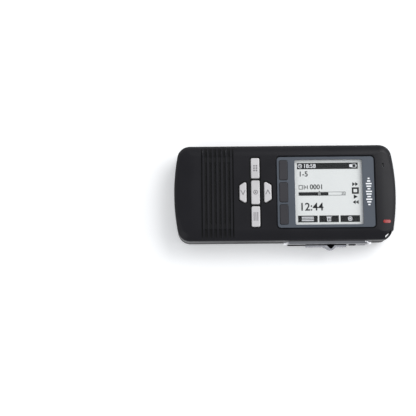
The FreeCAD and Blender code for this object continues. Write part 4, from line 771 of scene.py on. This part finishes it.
def make_looks():
    """A material for each of the record's slots."""
    front_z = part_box("front_housing")[1][2]
    bezel_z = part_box("display_bezel")[1][2]
    slider_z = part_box("slide_switch")[1][2]
    rail_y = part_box("side_rail_frame")[0][1]
    slider_shadow = inside_slider(slider_z - SLIDER_SHADOW, rail_y - SLIDER_EDGE)
    return {
        # painted shade: near-black in the front's wells below a depth
        "case": surface("charcoal_paint", CHARCOAL, roughness=0.38, grain=3000.0, cloud=0.08,
                        wear=0.06, gloss=0.25, painted_shade=sunk_in_front(front_z - CASE_SHADOW)),
        "case_rear": surface("charcoal_texture", CHARCOAL_REAR, roughness=0.55, grain=1800.0,
                             relief=0.30, wear=0.10, gloss=0.3),
        "bar": surface("charcoal_bar", CHARCOAL, roughness=0.40, grain=3000.0, relief=0.08,
                       cloud=0.08, wear=0.2, gloss=0.4),
        # painted shade: near-black on the bezel's walls below its top
        "bezel": surface("bezel_paint", BEZEL_BLUE_GREY, roughness=0.36, metallic=0.25,
                         grain=4200.0, relief=0.05, cloud=0.05, gloss=0.4,
                         painted_shade=below(bezel_z - BEZEL_SHADOW)),
        "clear": clear_plastic("clear_window", WINDOW_TINT, alpha=0.03),
        "display": liquid_crystal("liquid_crystal"),
        "silver_key": surface("silver_paint", KEY_SILVER, roughness=0.34, metallic=0.35,
                              grain=3200.0, relief=0.06, cloud=0.04),
        # painted shade: near-black on the soft keys' sides below the bezel's top
        "dark_key": surface("dark_key_plastic", KEY_DARK, roughness=0.38, grain=3600.0,
                            relief=0.05, cloud=0.06, gloss=0.4, painted_shade=below(bezel_z)),
        # painted shade: near-black in the grille's grooves
        "grille": surface("rib_paint", CHARCOAL, roughness=0.38, grain=3000.0, cloud=0.08,
                          wear=0.06, gloss=0.3, painted_shade=below(front_z - GRILLE_SHADOW)),
        "chrome": rail_metal("rail_chrome"),
        # painted shade: near-black in the slide switch's hollow and on its level faces near the
        # rail
        "switch_metal": surface("switch_metal", SATIN_METAL, roughness=0.26, metallic=1.0,
                                grain=2400.0, relief=0.08, wear=0.2, painted_shade=slider_shadow),
        "steel": surface("plain_steel", STEEL, roughness=0.32, metallic=1.0, grain=1500.0,
                         relief=0.08, cloud=0.08, stretch=(1, 8, 1)),
        "tin_plate": surface("tin_plate", STEEL, roughness=0.42, metallic=1.0, grain=900.0,
                             cloud=0.12),
        "gold": surface("gold_plate", GOLD, roughness=0.25, metallic=1.0, grain=1500.0,
                        relief=0.06, cloud=0.08),
        "cell_wrap": banded_cell("cell_wrap"),
        "white_plastic": surface("white_plastic", WHITE_PLASTIC, roughness=0.5, grain=2000.0,
                                 relief=0.06, cloud=0.04),
        "black_plastic": surface("black_plastic", BLACK_PLASTIC, roughness=0.42, grain=2200.0,
                                 cloud=0.12),
        "amber_film": surface("amber_film", AMBER, roughness=0.30, grain=900.0, relief=0.05,
                              cloud=0.15),
        "rubber": surface("mat_rubber", RUBBER_BLACK, roughness=0.75, grain=1600.0, relief=0.20),
        "circuit_board": surface("board_mask", BOARD_GREEN, roughness=0.35, grain=1200.0,
                                 relief=0.15, cloud=0.20),
        "chip": surface("chip_resin", BLACK_PLASTIC, roughness=0.6, grain=3000.0, relief=0.15),
        "red_lens": lit_plastic("red_lens", RED, RED_GLOW, strength=0.07),
        "cone": surface("cone_film", BLACK_PLASTIC, roughness=0.3, grain=800.0),
        "card_plastic": surface("card_plastic", CARD_BLUE, roughness=0.45, cloud=0.08),
    }


def paint_frame(looks):
    """Gives every CAD node its slot's material, but the rail's lens is milky, not clear."""
    milky = surface("lens_resin", LENS_MILK, roughness=0.18, grain=1800.0, relief=0.03, cloud=0.05)
    for entry in frame["record"]["subparts"]:
        material = milky if entry["node"] == "rail_lens" else looks.get(entry["material_slot"])
        node = frame["nodes"].get(entry["node"])
        if node is None or material is None:
            continue
        for place in node.material_slots:
            place.material = material


make_camera()
make_studio()
looks = make_looks()
paint_frame(looks)
screen_marks(ink("lcd_ink", LCD_INK), ink("lcd_ink_light", LCD_INK_LIGHT),
             ink("lcd_white", WHITE_INK, cloud=0.02))
key_marks(ink("key_print", LEGEND_GREY, relief=0.04, gloss=0.5))
bezel_glyph(ink("white_print", WHITE_INK, roughness=0.45, relief=0.04, cloud=0.03, gloss=0.5))
rear_marks(ink("door_print", LEGEND_GREY, relief=0.05, gloss=0.5))
speaker_cloth(woven("speaker_cloth", CLOTH_BLACK))
card_label = surface("card_label", LABEL_GREY, roughness=0.6, grain=1500.0, relief=0.05, cloud=0.05)
card_marks(card_label, looks["gold"])
